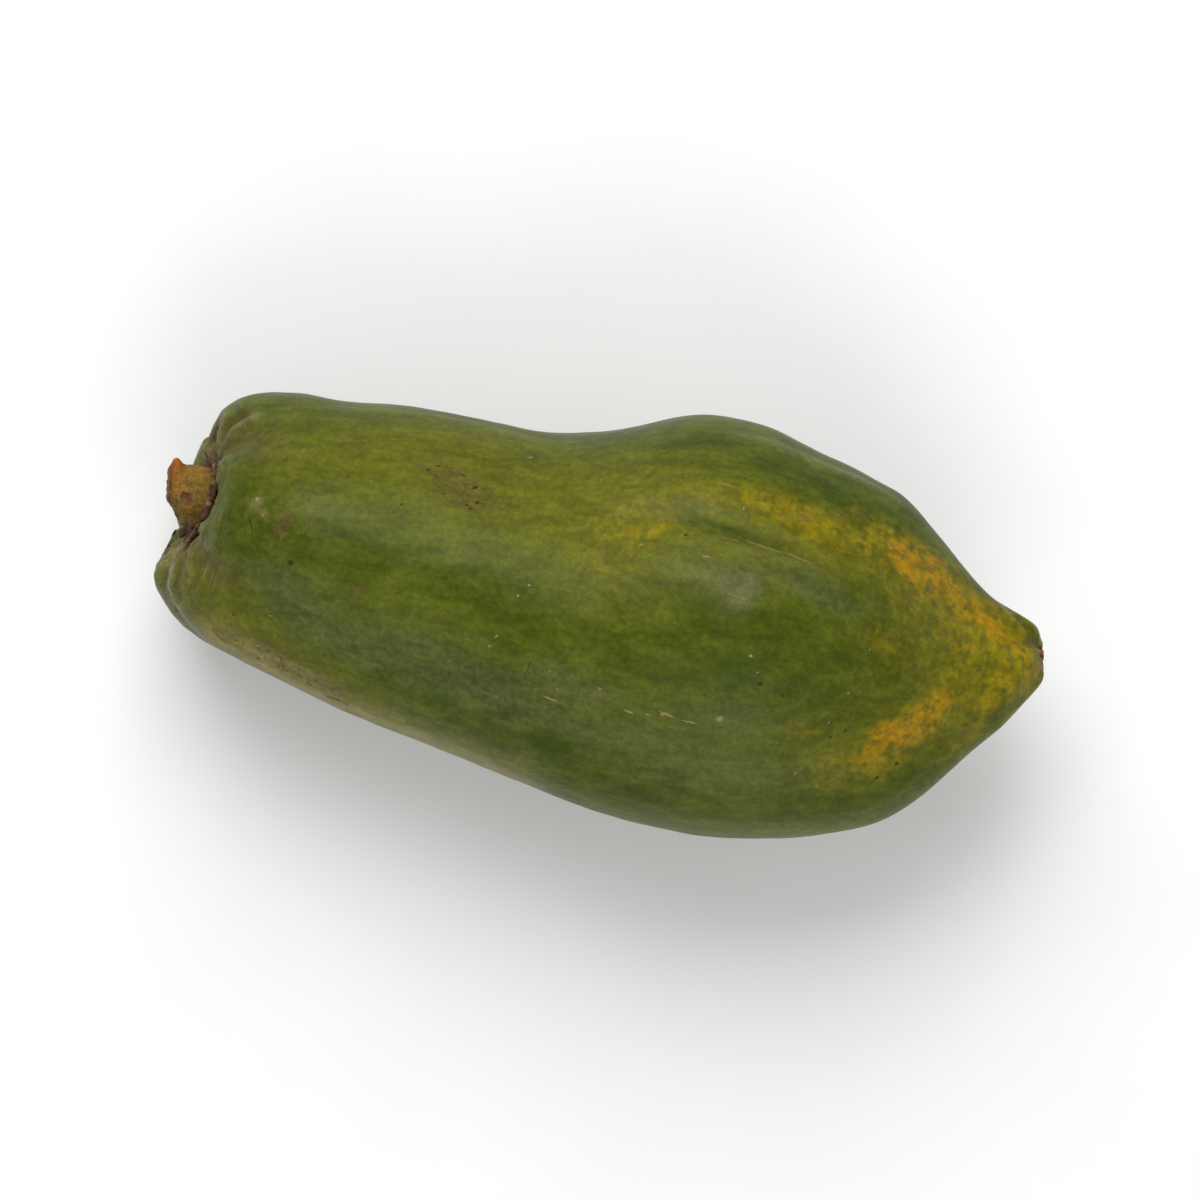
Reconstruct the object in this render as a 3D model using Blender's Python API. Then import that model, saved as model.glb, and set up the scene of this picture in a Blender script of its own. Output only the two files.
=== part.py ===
"""A papaya lying on its side, as picked: the fruit, its stalk's stub, the withered calyx and the flower scar.

Metres, +Z up. +X runs from the stalk to the flower end, +Y is the fruit's back, and it rests on a small flat
spot at Z = 0. The shapes are worked out in millimetres from the stalk's foot, and an empty then puts the
origin under their middle.
"""

import bmesh
import bpy
import numpy as np
from mathutils import Vector

MM = 0.001
GAP = 0.35  # clearance between neighbouring pieces

# Cross-sections of the fruit: how far along from the stalk's foot, how far it reaches to the back (+Y) and to
# the front (-Y) of the line from stalk to flower, and how high its underside and its top are.
SECTIONS = (
    (16, 38.4, 49.6, 8.0, 99.5),
    (26, 39.6, 53.0, 6.4, 103.5),
    (40, 39.8, 57.2, 4.8, 106.5),
    (58, 42.0, 62.0, 2.8, 109.0),
    (78, 42.8, 66.1, 0.7, 111.5),
    (97, 42.4, 69.6, -1.1, 114.0),
    (113, 42.4, 72.9, -1.7, 117.0),
    (127, 45.0, 75.9, -1.9, 120.5),
    (141, 49.6, 78.7, -2.1, 123.8),
    (155, 55.6, 80.6, -2.1, 126.8),
    (171, 58.5, 81.2, -1.9, 128.5),
    (187, 56.9, 81.1, -1.0, 127.5),
    (203, 52.2, 79.2, 1.6, 123.5),
    (218, 48.1, 75.9, 6.4, 117.5),
    (231, 42.6, 72.2, 12.6, 110.5),
    (243, 35.4, 67.2, 20.8, 102.5),
    (254, 26.6, 58.8, 29.4, 93.5),
    (264, 18.2, 47.0, 37.4, 86.0),
    (272, 13.4, 36.2, 42.6, 80.6),
    (279, 10.8, 28.0, 46.4, 76.8),
)

# The fruit's ends: distance along, and share of the section's half-width, from the stalk's pole outwards and
# then inwards to the flower's.
STALK_FLOOR = 3.4  # the flat floor of the hollow that the stalk stands in
HOLLOW_STEPS = 6  # the first points, from the pole up the hollow's wall
STALK_END = (
    (STALK_FLOOR, 0.0),
    (STALK_FLOOR, 0.14),
    (STALK_FLOOR, 0.28),
    (STALK_FLOOR - 0.4, 0.39),
    (2.6, 0.48),
    (-0.6, 0.56),
    (-2.2, 0.65),
    (-1.9, 0.75),
    (0.2, 0.85),
    (4.0, 0.935),
    (9.6, 0.982),
)
FLOWER_FLOOR = 287.4  # and the floor of the dimple that holds the flower scar
FLOWER_END = (
    (283.4, 0.95),
    (286.6, 0.83),
    (288.8, 0.64),
    (289.6, 0.43),
    (288.6, 0.26),
    (FLOWER_FLOOR, 0.155),
    (FLOWER_FLOOR, 0.0),
)
STALK_AXIS = (0.0, 54.0)  # Y and Z of the middle of the stalk's hollow, and of the flower's
FLOWER_AXIS = (-0.8, 61.5)
STALK_LEAN = (0.10, 0.20)  # how far the stalk end leans to the flower end, for each millimetre of Y and of Z
STALK_LEAN_FADES = (50.0, 2.0)
FLOWER_LEAN = (-0.16, 0.0)
STALK_PART = (0.5, 0.3)  # shares of the meridian where the stalk end's rules fade, and the flower end's start
FLOWER_PART = (0.7, 0.9)
STALK_WALL = (0.30, 0.50)  # shares of the section where each hollow's floor ends and the lobes are whole
FLOWER_WALL = (0.10, 0.60)
STALK_RIM = (1.0, 0.70)  # shares between which the lobes rise at the rim of the stalk's hollow
FLOWER_RIM = (1.0, 0.55)  # and at the flower's dimple
FLOWER_LEAN_GROWS = (1.0, 0.5)

# Five lobes, one for each carpel: the angle of each ridge, from the back over the top, at the stalk and at
# the belly, and the distances along between which it turns from one to the other.
RIDGES_AT_STALK = (8.0, 88.0, 152.0, 207.0, 290.0)
RIDGES_AT_BELLY = (17.0, 86.0, 155.0, 236.0, 304.0)
RIDGES_TURN = (10.0, 110.0)
# Height of the lobes at distances along the fruit.
LOBES = ((8, 1.6), (30, 1.2), (80, 0.9), (140, 1.2), (200, 1.8), (245, 1.6), (270, 1.1), (288, 0.8))
CREASE_WIDTH = 7.0  # degrees
STALK_CREASE = (2.2, 15.0)  # depth of the groove between lobes, and where it has faded
FLOWER_CREASE = (1.0, 275.4)  # depth, and where it starts
FLOWER_CREASES = (1.0, 0.2, 0.8, 1.0, 1.0)  # share of that depth in each groove
RIM_RISES = (0.3, -2.8, 2.4, 3.8, -0.8)  # how far each lobe stands out round the stalk's hollow
TIP_RISES = (-0.9, -1.9, 0.6, 0.8, -0.2)  # and round the flower's dimple
GROOVE_RISE = 0.2  # share of a lobe's rise that is left in the grooves beside it

# Single swellings and hollows: distance along, angle, half-length, half-width in degrees, height.
SWELLINGS = (
    (183.0, 61.0, 27.0, 6.5, -2.6),
    (168.0, 50.0, 16.0, 8.0, 1.0),
    (186.0, 75.0, 30.0, 8.0, 1.0),
    (233.0, 10.0, 8.0, 14.0, 1.5),
    (118.0, 62.0, 26.0, 18.0, -0.8),
    (165.0, 128.0, 34.0, 12.0, -0.7),
    (279.0, 119.0, 13.0, 17.0, 1.5),
)
FRUIT_SIDES = 64
RINGS_PER_STEP = 2

CUT_END = -11.4  # where the middle of the stalk's cut end stands
CUT_SLANT = (-0.15, 0.04)  # and how it slants with Y and Z
# Radius of the stalk at shares of its length.
STALK_RADII = ((0.0, 10.2), (0.2, 10.4), (0.53, 9.9), (0.76, 9.2), (0.91, 8.2), (1.0, 6.4))
# Knobs and scars on it: share of its length, angle, half-length in share, half-width in degrees, height.
STALK_KNOBS = (
    (0.85, 14.0, 0.13, 22.0, 3.2),
    (0.575, 98.0, 0.19, 20.0, 1.0),
    (0.575, 98.0, 0.105, 11.0, -1.1),
    (1.02, 176.0, 0.40, 52.0, -4.2),
    (0.60, 205.0, 0.165, 24.0, 1.8),
    (0.47, 300.0, 0.19, 26.0, 0.9),
)
STALK_ENDS = 0.16  # share of the sphere's rings at each end that make its flat foot and its cut
STALK_RINGS = 20
STALK_SIDES = 40

CALYX_RADIUS = 11.9  # inner radius, clear of the stalk
CALYX_WIDTH = 2.6
CALYX_LOBE = (4.6, 14.0)  # a withered lobe lies this far up each groove, with this half-width in degrees
CALYX_THICKNESS = 2.8
CALYX_CURL = 1.5  # how far its outer edge lifts at a lobe, and the share of it between lobes
CALYX_CURL_BETWEEN = 0.4
CALYX_SIDES = 60
CALYX_ROUND = 8

SCAR_RADIUS = 1.6
SCAR_HEIGHT = 1.9
SCAR_POINTS = 5
SCAR_POINT_SIZE = 0.12  # share of the radius
SCAR_ROUNDING = 0.7
SCAR_EDGE = (0.6, 0.5)  # steps between which the scar's side rises
SCAR_DIP = 0.8  # depth of the hollow in its face, and the shares of the radius where it starts and ends
SCAR_DIP_WALL = (0.8, 0.2)
SCAR_SIDES = 25
SCAR_RINGS = 10

SKIN = ((0.085, 0.125, 0.017), 0.42)
STALK_BARK = ((0.30, 0.15, 0.035), 0.7)
CALYX_BROWN = ((0.055, 0.025, 0.020), 0.85)
SCAR_RED = ((0.26, 0.055, 0.02), 0.6)
SHARP_ANGLE = 50.0


def smooth_step(low, high, value):
    share = np.clip((value - low) / (high - low), 0.0, 1.0)
    return share * share * (3.0 - 2.0 * share)


def spline(places, values, wanted):
    """A natural cubic spline through values at places, read at wanted; past its ends it runs on straight."""
    x, y = np.asarray(places, float), np.asarray(values, float)
    gap = np.diff(x)
    slope = np.diff(y) / gap
    system = np.eye(len(x))
    right = np.zeros(len(x))
    for i in range(1, len(x) - 1):
        system[i, i - 1 : i + 2] = gap[i - 1], 2.0 * (gap[i - 1] + gap[i]), gap[i]
        right[i] = 3.0 * (slope[i] - slope[i - 1])
    bend = np.linalg.solve(system, right)
    nearest = np.clip(wanted, x[0], x[-1])
    i = np.clip(np.searchsorted(x, nearest) - 1, 0, len(gap) - 1)
    step = nearest - x[i]
    first = slope[i] - gap[i] * (2.0 * bend[i] + bend[i + 1]) / 3.0
    third = (bend[i + 1] - bend[i]) / (3.0 * gap[i])
    steepness = first + step * (2.0 * bend[i] + step * 3.0 * third)
    return y[i] + step * (first + step * (bend[i] + step * third)) + steepness * (wanted - nearest)


def steady_curve(values, wanted):
    """A smooth curve through evenly spaced values that never swings past them, read at wanted steps."""
    y = np.asarray(values, float)
    slope = np.diff(y)
    before, after = slope[:-1], slope[1:]
    same_way = before * after > 0
    middle = np.where(same_way, 2.0 * before * after / np.where(same_way, before + after, 1.0), 0.0)
    tangent = np.concatenate([[slope[0]], middle, [slope[-1]]])
    i = np.clip(np.floor(wanted).astype(int), 0, len(slope) - 1)
    t = wanted - i
    return (
        y[i] * (1 + 2 * t) * (1 - t) ** 2
        + tangent[i] * t * (1 - t) ** 2
        + y[i + 1] * t * t * (3 - 2 * t)
        + tangent[i + 1] * t * t * (t - 1)
    )


def meridian():
    """Distance along and share of the section, at each step from the stalk's pole to the flower's."""
    body = tuple((section[0], 1.0) for section in SECTIONS)
    return np.array(STALK_END + body + FLOWER_END, float)


LAST_STEP = len(STALK_END) + len(SECTIONS) + len(FLOWER_END) - 1


def lobe_place(angle, along):
    """Where an angle lies between two ridges, from 0 to 1, the degrees between, and the first's number."""
    turned = smooth_step(*RIDGES_TURN, along)
    at_stalk = np.array(RIDGES_AT_STALK + (RIDGES_AT_STALK[0] + 360.0,))
    at_belly = np.array(RIDGES_AT_BELLY + (RIDGES_AT_BELLY[0] + 360.0,))
    place, span, number = np.zeros_like(angle), np.full_like(angle, 360.0), np.zeros(angle.shape, int)
    for i in range(len(RIDGES_AT_STALK)):
        start = at_stalk[i] + turned * (at_belly[i] - at_stalk[i])
        stop = at_stalk[i + 1] + turned * (at_belly[i + 1] - at_stalk[i + 1])
        here = np.mod(angle - start, 360.0) / (stop - start)
        inside = here < 1.0
        place = np.where(inside, here, place)
        span = np.where(inside, stop - start, span)
        number = np.where(inside, i, number)
    return place, span, number


def rise_of_lobe(rises, place, number):
    """How far the lobes stand out, from each ridge's own rise down to a share of it in the grooves."""
    rises = np.array(rises)
    before, after = rises[number], rises[(number + 1) % len(rises)]
    between = before + (after - before) * smooth_step(0.0, 1.0, place)
    on_ridge = 0.5 + 0.5 * np.cos(2.0 * np.pi * place)
    return between * (GROOVE_RISE + (1.0 - GROOVE_RISE) * on_ridge)


def swelling(along, angle, middle, turn, half_length, half_width, height):
    away = np.mod(angle - turn + 180.0, 360.0) - 180.0
    return height * np.exp(-(((along - middle) / half_length) ** 2) - (away / half_width) ** 2)


def fruit_surface(step, angle):
    """Points of the skin, at steps of the meridian and at angles in degrees from the back over the top."""
    along, share = (steady_curve(column, step) for column in meridian().T)
    places, *reaches = np.array(SECTIONS).T
    back, front, under, top = (spline(places, reach, along) for reach in reaches)
    at_stalk = smooth_step(*STALK_PART, step / LAST_STEP)
    at_flower = smooth_step(*FLOWER_PART, step / LAST_STEP)
    off_axis = share**2
    pole_y, pole_z = (a * at_stalk + b * (1.0 - at_stalk) for a, b in zip(STALK_AXIS, FLOWER_AXIS))
    centre_y = pole_y + ((back - front) / 2.0 - pole_y) * off_axis
    centre_z = pole_z + ((under + top) / 2.0 - pole_z) * off_axis

    place, span, number = lobe_place(angle, along)
    lobe = np.cos(2.0 * np.pi * place)
    crease = np.exp(-(((place - 0.5) * span / CREASE_WIDTH) ** 2))
    height = np.interp(along, *np.array(LOBES).T) * lobe
    height -= STALK_CREASE[0] * crease * smooth_step(STALK_CREASE[1], 0.0, along)
    flower_crease = FLOWER_CREASE[0] * crease * np.array(FLOWER_CREASES)[number]
    height -= flower_crease * smooth_step(FLOWER_CREASE[1], FLOWER_FLOOR, along)
    for one in SWELLINGS:
        height += swelling(along, angle, *one)
    off_floor = smooth_step(*STALK_WALL, share) * at_stalk
    off_floor += smooth_step(*FLOWER_WALL, share) * (1.0 - at_stalk)

    turn = np.radians(angle)
    y = ((back + front) / 2.0 * share + height * off_floor) * np.cos(turn)
    z = ((top - under) / 2.0 * share + height * off_floor) * np.sin(turn)
    rim = off_floor * smooth_step(*STALK_RIM, share) * at_stalk
    tip = off_floor * smooth_step(*FLOWER_RIM, share) * (1.0 - at_stalk)
    x = along - (rise_of_lobe(RIM_RISES, place, number) - STALK_CREASE[0] * crease) * rim
    x += (rise_of_lobe(TIP_RISES, place, number) - flower_crease) * tip
    x += (STALK_LEAN[0] * y + STALK_LEAN[1] * z) * smooth_step(*STALK_LEAN_FADES, along)
    leaning = at_flower * smooth_step(*FLOWER_LEAN_GROWS, share)
    x += (FLOWER_LEAN[0] * y + FLOWER_LEAN[1] * z) * leaning
    return np.stack([x, y + centre_y, z + centre_z], axis=-1)


def stalk_surface(step, angle):
    """Points of the stalk's stub at steps from 0 to 1, from its foot up its knobbly side to its cut end."""
    share = np.clip((step - STALK_ENDS) / (1.0 - 2.0 * STALK_ENDS), 0.0, 1.0)
    radius = np.interp(share, *np.array(STALK_RADII).T)
    for one in STALK_KNOBS:
        radius += swelling(share, angle, *one)
    radius *= np.clip(step / STALK_ENDS, 0.0, 1.0) * np.clip((1.0 - step) / STALK_ENDS, 0.0, 1.0)
    turn = np.radians(angle)
    y, z = radius * np.cos(turn), radius * np.sin(turn)
    foot = STALK_FLOOR - GAP + STALK_LEAN[0] * y + STALK_LEAN[1] * z
    cut = CUT_END + CUT_SLANT[0] * y + CUT_SLANT[1] * z
    return np.stack([foot + share * (cut - foot), y + STALK_AXIS[0], z + STALK_AXIS[1]], axis=-1)


def calyx_surface(angle, around):
    """Points of the withered calyx, a thin ring round the stalk's foot with a lobe up each groove."""
    place, span, _ = lobe_place(angle, np.full_like(angle, STALK_FLOOR))
    lobe = np.exp(-(((place - 0.5) * span / CALYX_LOBE[1]) ** 2))
    outward = 0.5 - 0.5 * np.cos(around)
    radius = CALYX_RADIUS + outward * (CALYX_WIDTH + CALYX_LOBE[0] * lobe)
    half_width = (SECTIONS[0][1] + SECTIONS[0][2]) / 2.0
    rising = np.array(STALK_END[:HOLLOW_STEPS])[:, 1]
    point = fruit_surface(np.interp(radius / half_width, rising, np.arange(HOLLOW_STEPS)), angle)
    lift = CALYX_CURL * outward**2 * (CALYX_CURL_BETWEEN + lobe)
    point[:, 0] -= GAP + lift + CALYX_THICKNESS * (0.5 + 0.5 * np.sin(around))
    return point


def scar_surface(step, angle):
    """Points of the flower scar at steps from 0 to 1, a small disc with a hollow face and five points."""
    radius = SCAR_RADIUS * np.sin(np.pi * step) ** SCAR_ROUNDING
    radius *= 1.0 + SCAR_POINT_SIZE * np.cos(np.radians(SCAR_POINTS * angle))
    face = smooth_step(*SCAR_EDGE, step)
    dip = SCAR_DIP * smooth_step(*SCAR_DIP_WALL, radius / SCAR_RADIUS)
    x = FLOWER_FLOOR + GAP + face * (SCAR_HEIGHT - dip)
    turn = np.radians(angle)
    y, z = radius * np.cos(turn), radius * np.sin(turn)
    x += FLOWER_LEAN[0] * y + FLOWER_LEAN[1] * z
    return np.stack([x, y + FLOWER_AXIS[0], z + FLOWER_AXIS[1]], axis=-1)


def material(name, look):
    colour, roughness = look
    made = bpy.data.materials.new(name)
    made.use_nodes = True
    shader = made.node_tree.nodes["Principled BSDF"]
    shader.inputs["Base Color"].default_value = (*colour, 1.0)
    shader.inputs["Roughness"].default_value = roughness
    shader.inputs["Metallic"].default_value = 0.0
    made.diffuse_color = (*colour, 1.0)
    return made


def add_object(name, shape, look, collection, frame):
    mesh = bpy.data.meshes.new(name)
    if shape.calc_volume(signed=True) < 0:
        bmesh.ops.reverse_faces(shape, faces=shape.faces)
    shape.to_mesh(mesh)
    shape.free()
    mesh.materials.append(material(name, look))
    mesh.shade_smooth()
    mesh.set_sharp_from_angle(angle=np.radians(SHARP_ANGLE))
    made = bpy.data.objects.new(name, mesh)
    collection.objects.link(made)
    made.parent = frame


def carry(shape, points):
    for vertex, point in zip(shape.verts, points):
        vertex.co = Vector(point * MM)


def shaped_sphere(sides, rings, surface):
    """A sphere whose points are carried to surface(step from 0 to 1, angle in degrees)."""
    shape = bmesh.new()
    bmesh.ops.create_uvsphere(shape, u_segments=sides, v_segments=rings, radius=1.0)
    ball = np.array([vertex.co for vertex in shape.verts])
    step = np.arccos(np.clip(-ball[:, 2], -1.0, 1.0)) / np.pi
    carry(shape, surface(step, np.degrees(np.arctan2(ball[:, 1], ball[:, 0]))))
    return shape


def fruit_shape():
    """The fruit in one piece, cut to the small flat spot that it lies on."""
    rings = LAST_STEP * RINGS_PER_STEP
    shape = shaped_sphere(FRUIT_SIDES, rings, lambda step, angle: fruit_surface(step * LAST_STEP, angle))
    everything = shape.verts[:] + shape.edges[:] + shape.faces[:]
    cut = bmesh.ops.bisect_plane(
        shape, geom=everything, dist=1e-6, plane_co=(0, 0, 0), plane_no=(0, 0, -1), clear_outer=True
    )
    bmesh.ops.edgeloop_fill(shape, edges=[e for e in cut["geom_cut"] if isinstance(e, bmesh.types.BMEdge)])
    return shape


def calyx_shape():
    bpy.ops.mesh.primitive_torus_add(
        major_radius=2.0, minor_radius=1.0, major_segments=CALYX_SIDES, minor_segments=CALYX_ROUND
    )
    ring = bpy.context.object
    shape = bmesh.new()
    shape.from_mesh(ring.data)
    bpy.data.objects.remove(ring)
    torus = np.array([vertex.co for vertex in shape.verts])
    across = np.hypot(torus[:, 0], torus[:, 1]) - 2.0
    angle = np.degrees(np.arctan2(torus[:, 1], torus[:, 0]))
    carry(shape, calyx_surface(angle, np.arctan2(torus[:, 2], -across)))
    return shape


def centre_on_origin(frame, objects):
    """Puts the origin under the middle of the box of all the pieces."""
    points = np.array([vertex.co for one in objects for vertex in one.data.vertices])
    low, high = points.min(axis=0), points.max(axis=0)
    frame.location = (-(low[0] + high[0]) / 2.0, -(low[1] + high[1]) / 2.0, -low[2])


def main():
    for old in list(bpy.data.objects):
        bpy.data.objects.remove(old)
    papaya = bpy.data.collections.new("papaya")
    bpy.context.scene.collection.children.link(papaya)
    frame = bpy.data.objects.new("papaya_frame", None)
    papaya.objects.link(frame)
    stalk = shaped_sphere(STALK_SIDES, STALK_RINGS, stalk_surface)
    scar = shaped_sphere(SCAR_SIDES, SCAR_RINGS, scar_surface)
    add_object("fruit", fruit_shape(), SKIN, papaya, frame)
    add_object("stalk", stalk, STALK_BARK, papaya, frame)
    add_object("calyx", calyx_shape(), CALYX_BROWN, papaya, frame)
    add_object("flower_scar", scar, SCAR_RED, papaya, frame)
    centre_on_origin(frame, [one for one in papaya.objects if one.type == "MESH"])


main()
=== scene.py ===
"""The looks of a papaya lying on its side: a finer piece in place of each packed one, with its finish, the
light, the pale floor and a camera that looks straight down, as the photograph was taken.

Shapes are worked out in millimetres from the stalk's foot, as the part's own source does: +X to the flower
end, +Y to the fruit's back, +Z up. Angles round the fruit are in degrees from the back over the top. Places
on the skin that the photograph shows are its pixels; sizes are millimetres.
"""

import bmesh
import bpy
import numpy as np
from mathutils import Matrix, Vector


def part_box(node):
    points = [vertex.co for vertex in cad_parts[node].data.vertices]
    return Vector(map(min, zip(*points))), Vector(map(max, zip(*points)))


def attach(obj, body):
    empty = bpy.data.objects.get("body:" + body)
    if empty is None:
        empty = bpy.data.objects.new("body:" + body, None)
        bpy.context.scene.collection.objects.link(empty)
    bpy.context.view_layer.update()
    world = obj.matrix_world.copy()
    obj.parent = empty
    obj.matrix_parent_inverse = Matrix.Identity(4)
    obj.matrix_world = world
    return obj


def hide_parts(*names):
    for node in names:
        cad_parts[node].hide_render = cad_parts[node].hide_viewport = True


MM = 0.001
GAP = 0.35  # clearance between neighbouring pieces

# Cross-sections of the fruit: how far along from the stalk's foot, how far it reaches to the back (+Y) and to
# the front (-Y) of the line from stalk to flower, and how high its underside and its top are.
SECTIONS = (
    (16, 38.4, 49.6, 8.0, 99.5),
    (26, 39.6, 53.0, 6.4, 103.5),
    (40, 39.8, 57.2, 4.8, 106.5),
    (58, 42.0, 62.0, 2.8, 109.0),
    (78, 42.8, 66.1, 0.7, 111.5),
    (97, 42.4, 69.6, -1.1, 114.0),
    (113, 42.4, 72.9, -1.7, 117.0),
    (127, 45.0, 75.9, -1.9, 120.5),
    (141, 49.6, 78.7, -2.1, 123.8),
    (155, 55.6, 80.6, -2.1, 126.8),
    (171, 58.5, 81.2, -1.9, 128.5),
    (187, 56.9, 81.1, -1.0, 127.5),
    (203, 52.2, 79.2, 1.6, 123.5),
    (218, 48.1, 75.9, 6.4, 117.5),
    (231, 42.6, 72.2, 12.6, 110.5),
    (243, 35.4, 67.2, 20.8, 102.5),
    (254, 26.6, 58.8, 29.4, 93.5),
    (264, 18.2, 47.0, 37.4, 86.0),
    (272, 13.4, 36.2, 42.6, 80.6),
    (279, 10.8, 28.0, 46.4, 76.8),
)

# The fruit's ends: distance along, and share of the section's half-width, from the stalk's pole outwards and
# then inwards to the flower's.
STALK_FLOOR = 3.4  # the flat floor of the hollow that the stalk stands in
HOLLOW_STEPS = 6  # the first points, from the pole up the hollow's wall
STALK_END = (
    (STALK_FLOOR, 0.0),
    (STALK_FLOOR, 0.14),
    (STALK_FLOOR, 0.28),
    (STALK_FLOOR - 0.4, 0.39),
    (2.6, 0.48),
    (-0.6, 0.56),
    (-2.2, 0.65),
    (-1.9, 0.75),
    (0.2, 0.85),
    (4.0, 0.935),
    (9.6, 0.982),
)
FLOWER_FLOOR = 287.4  # and the floor of the dimple that holds the flower scar
FLOWER_END = (
    (283.4, 0.95),
    (286.6, 0.83),
    (288.8, 0.64),
    (289.6, 0.43),
    (288.6, 0.26),
    (FLOWER_FLOOR, 0.155),
    (FLOWER_FLOOR, 0.0),
)
STALK_AXIS = (0.0, 54.0)  # Y and Z of the middle of the stalk's hollow, and of the flower's
FLOWER_AXIS = (-0.8, 61.5)
STALK_LEAN = (0.10, 0.20)  # how far the stalk end leans to the flower end, for each millimetre of Y and of Z
STALK_LEAN_FADES = (50.0, 2.0)
FLOWER_LEAN = (-0.16, 0.0)
STALK_PART = (0.5, 0.3)  # shares of the meridian where the stalk end's rules fade, and the flower end's start
FLOWER_PART = (0.7, 0.9)
STALK_WALL = (0.30, 0.50)  # shares of the section where each hollow's floor ends and the lobes are whole
FLOWER_WALL = (0.10, 0.60)
STALK_RIM = (1.0, 0.70)  # shares between which the lobes rise at the rim of the stalk's hollow
FLOWER_RIM = (1.0, 0.55)  # and at the flower's dimple
FLOWER_LEAN_GROWS = (1.0, 0.5)

# Five lobes, one for each carpel: the angle of each ridge, from the back over the top, at the stalk and at
# the belly, and the distances along between which it turns from one to the other.
RIDGES_AT_STALK = (8.0, 88.0, 152.0, 207.0, 290.0)
RIDGES_AT_BELLY = (17.0, 86.0, 155.0, 236.0, 304.0)
RIDGES_TURN = (10.0, 110.0)
# Height of the lobes at distances along the fruit.
LOBES = ((8, 1.6), (30, 1.2), (80, 0.9), (140, 1.2), (200, 1.8), (245, 1.6), (270, 1.1), (288, 0.8))
CREASE_WIDTH = 7.0  # degrees
STALK_CREASE = (2.2, 15.0)  # depth of the groove between lobes, and where it has faded
FLOWER_CREASE = (1.0, 275.4)  # depth, and where it starts
FLOWER_CREASES = (1.0, 0.2, 0.8, 1.0, 1.0)  # share of that depth in each groove
RIM_RISES = (0.3, -2.8, 2.4, 3.8, -0.8)  # how far each lobe stands out round the stalk's hollow
TIP_RISES = (-0.9, -1.9, 0.6, 0.8, -0.2)  # and round the flower's dimple
GROOVE_RISE = 0.2  # share of a lobe's rise that is left in the grooves beside it

# Single swellings and hollows: distance along, angle, half-length, half-width in degrees, height.
SWELLINGS = (
    (183.0, 61.0, 27.0, 6.5, -2.6),
    (168.0, 50.0, 16.0, 8.0, 1.0),
    (186.0, 75.0, 30.0, 8.0, 1.0),
    (233.0, 10.0, 8.0, 14.0, 1.5),
    (118.0, 62.0, 26.0, 18.0, -0.8),
    (165.0, 128.0, 34.0, 12.0, -0.7),
    (279.0, 119.0, 13.0, 17.0, 1.5),
)
FRUIT_SIDES = 352
FRUIT_RINGS = 270

CUT_END = -11.4  # where the middle of the stalk's cut end stands
CUT_SLANT = (-0.15, 0.04)  # and how it slants with Y and Z
# Radius of the stalk at shares of its length.
STALK_RADII = ((0.0, 10.2), (0.2, 10.4), (0.53, 9.9), (0.76, 9.2), (0.91, 8.2), (1.0, 6.4))
# Knobs and scars on it: share of its length, angle, half-length in share, half-width in degrees, height.
STALK_KNOBS = (
    (0.85, 14.0, 0.13, 22.0, 3.2),
    (0.575, 98.0, 0.19, 20.0, 1.0),
    (0.575, 98.0, 0.105, 11.0, -1.1),
    (1.02, 176.0, 0.40, 52.0, -4.2),
    (0.60, 205.0, 0.165, 24.0, 1.8),
    (0.47, 300.0, 0.19, 26.0, 0.9),
)
STALK_ENDS = 0.16  # share of the sphere's rings at each end that make its flat foot and its cut
STALK_RINGS = 130
STALK_SIDES = 180

CALYX_RADIUS = 11.9  # inner radius, clear of the stalk
CALYX_WIDTH = 2.6
CALYX_LOBE = (4.6, 14.0)  # a withered lobe lies this far up each groove, with this half-width in degrees
CALYX_THICKNESS = 2.8
CALYX_CURL = 1.5  # how far its outer edge lifts at a lobe, and the share of it between lobes
CALYX_CURL_BETWEEN = 0.4
CALYX_SIDES = 480
CALYX_ROUND = 32

SCAR_RADIUS = 1.6
SCAR_HEIGHT = 1.9
SCAR_POINTS = 5
SCAR_POINT_SIZE = 0.12  # share of the radius
SCAR_ROUNDING = 0.7
SCAR_EDGE = (0.6, 0.5)  # steps between which the scar's side rises
SCAR_DIP = 0.8  # depth of the hollow in its face, and the shares of the radius where it starts and ends
SCAR_DIP_WALL = (0.8, 0.2)
SCAR_SIDES = 100
SCAR_RINGS = 60

HALF_WIDTH = 55.0  # of a middling section, for lengths along the skin
RINGS_BY_STEP = 0.35  # share of a ring's spacing that goes by step, so that rings lie closer at the ends
STEP_PIECES = 40  # pieces of a step in which lengths are measured
SHARP_ANGLE = 60.0

NOISE_SLOPES = 4093  # slopes that the noise draws, and the strides that pick one for a corner of its grid
NOISE_STRIDES = np.array([73, 1069, 2531])
NOISE_HEIGHT = 1.6
SKIN_LUMPS = ((26.0, 0.30), (9.0, 0.12))  # size and height
BARK_LUMPS = ((4.0, 0.50), (1.6, 0.22))
CALYX_LUMPS = ((2.4, 0.45), (1.0, 0.25))

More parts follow.
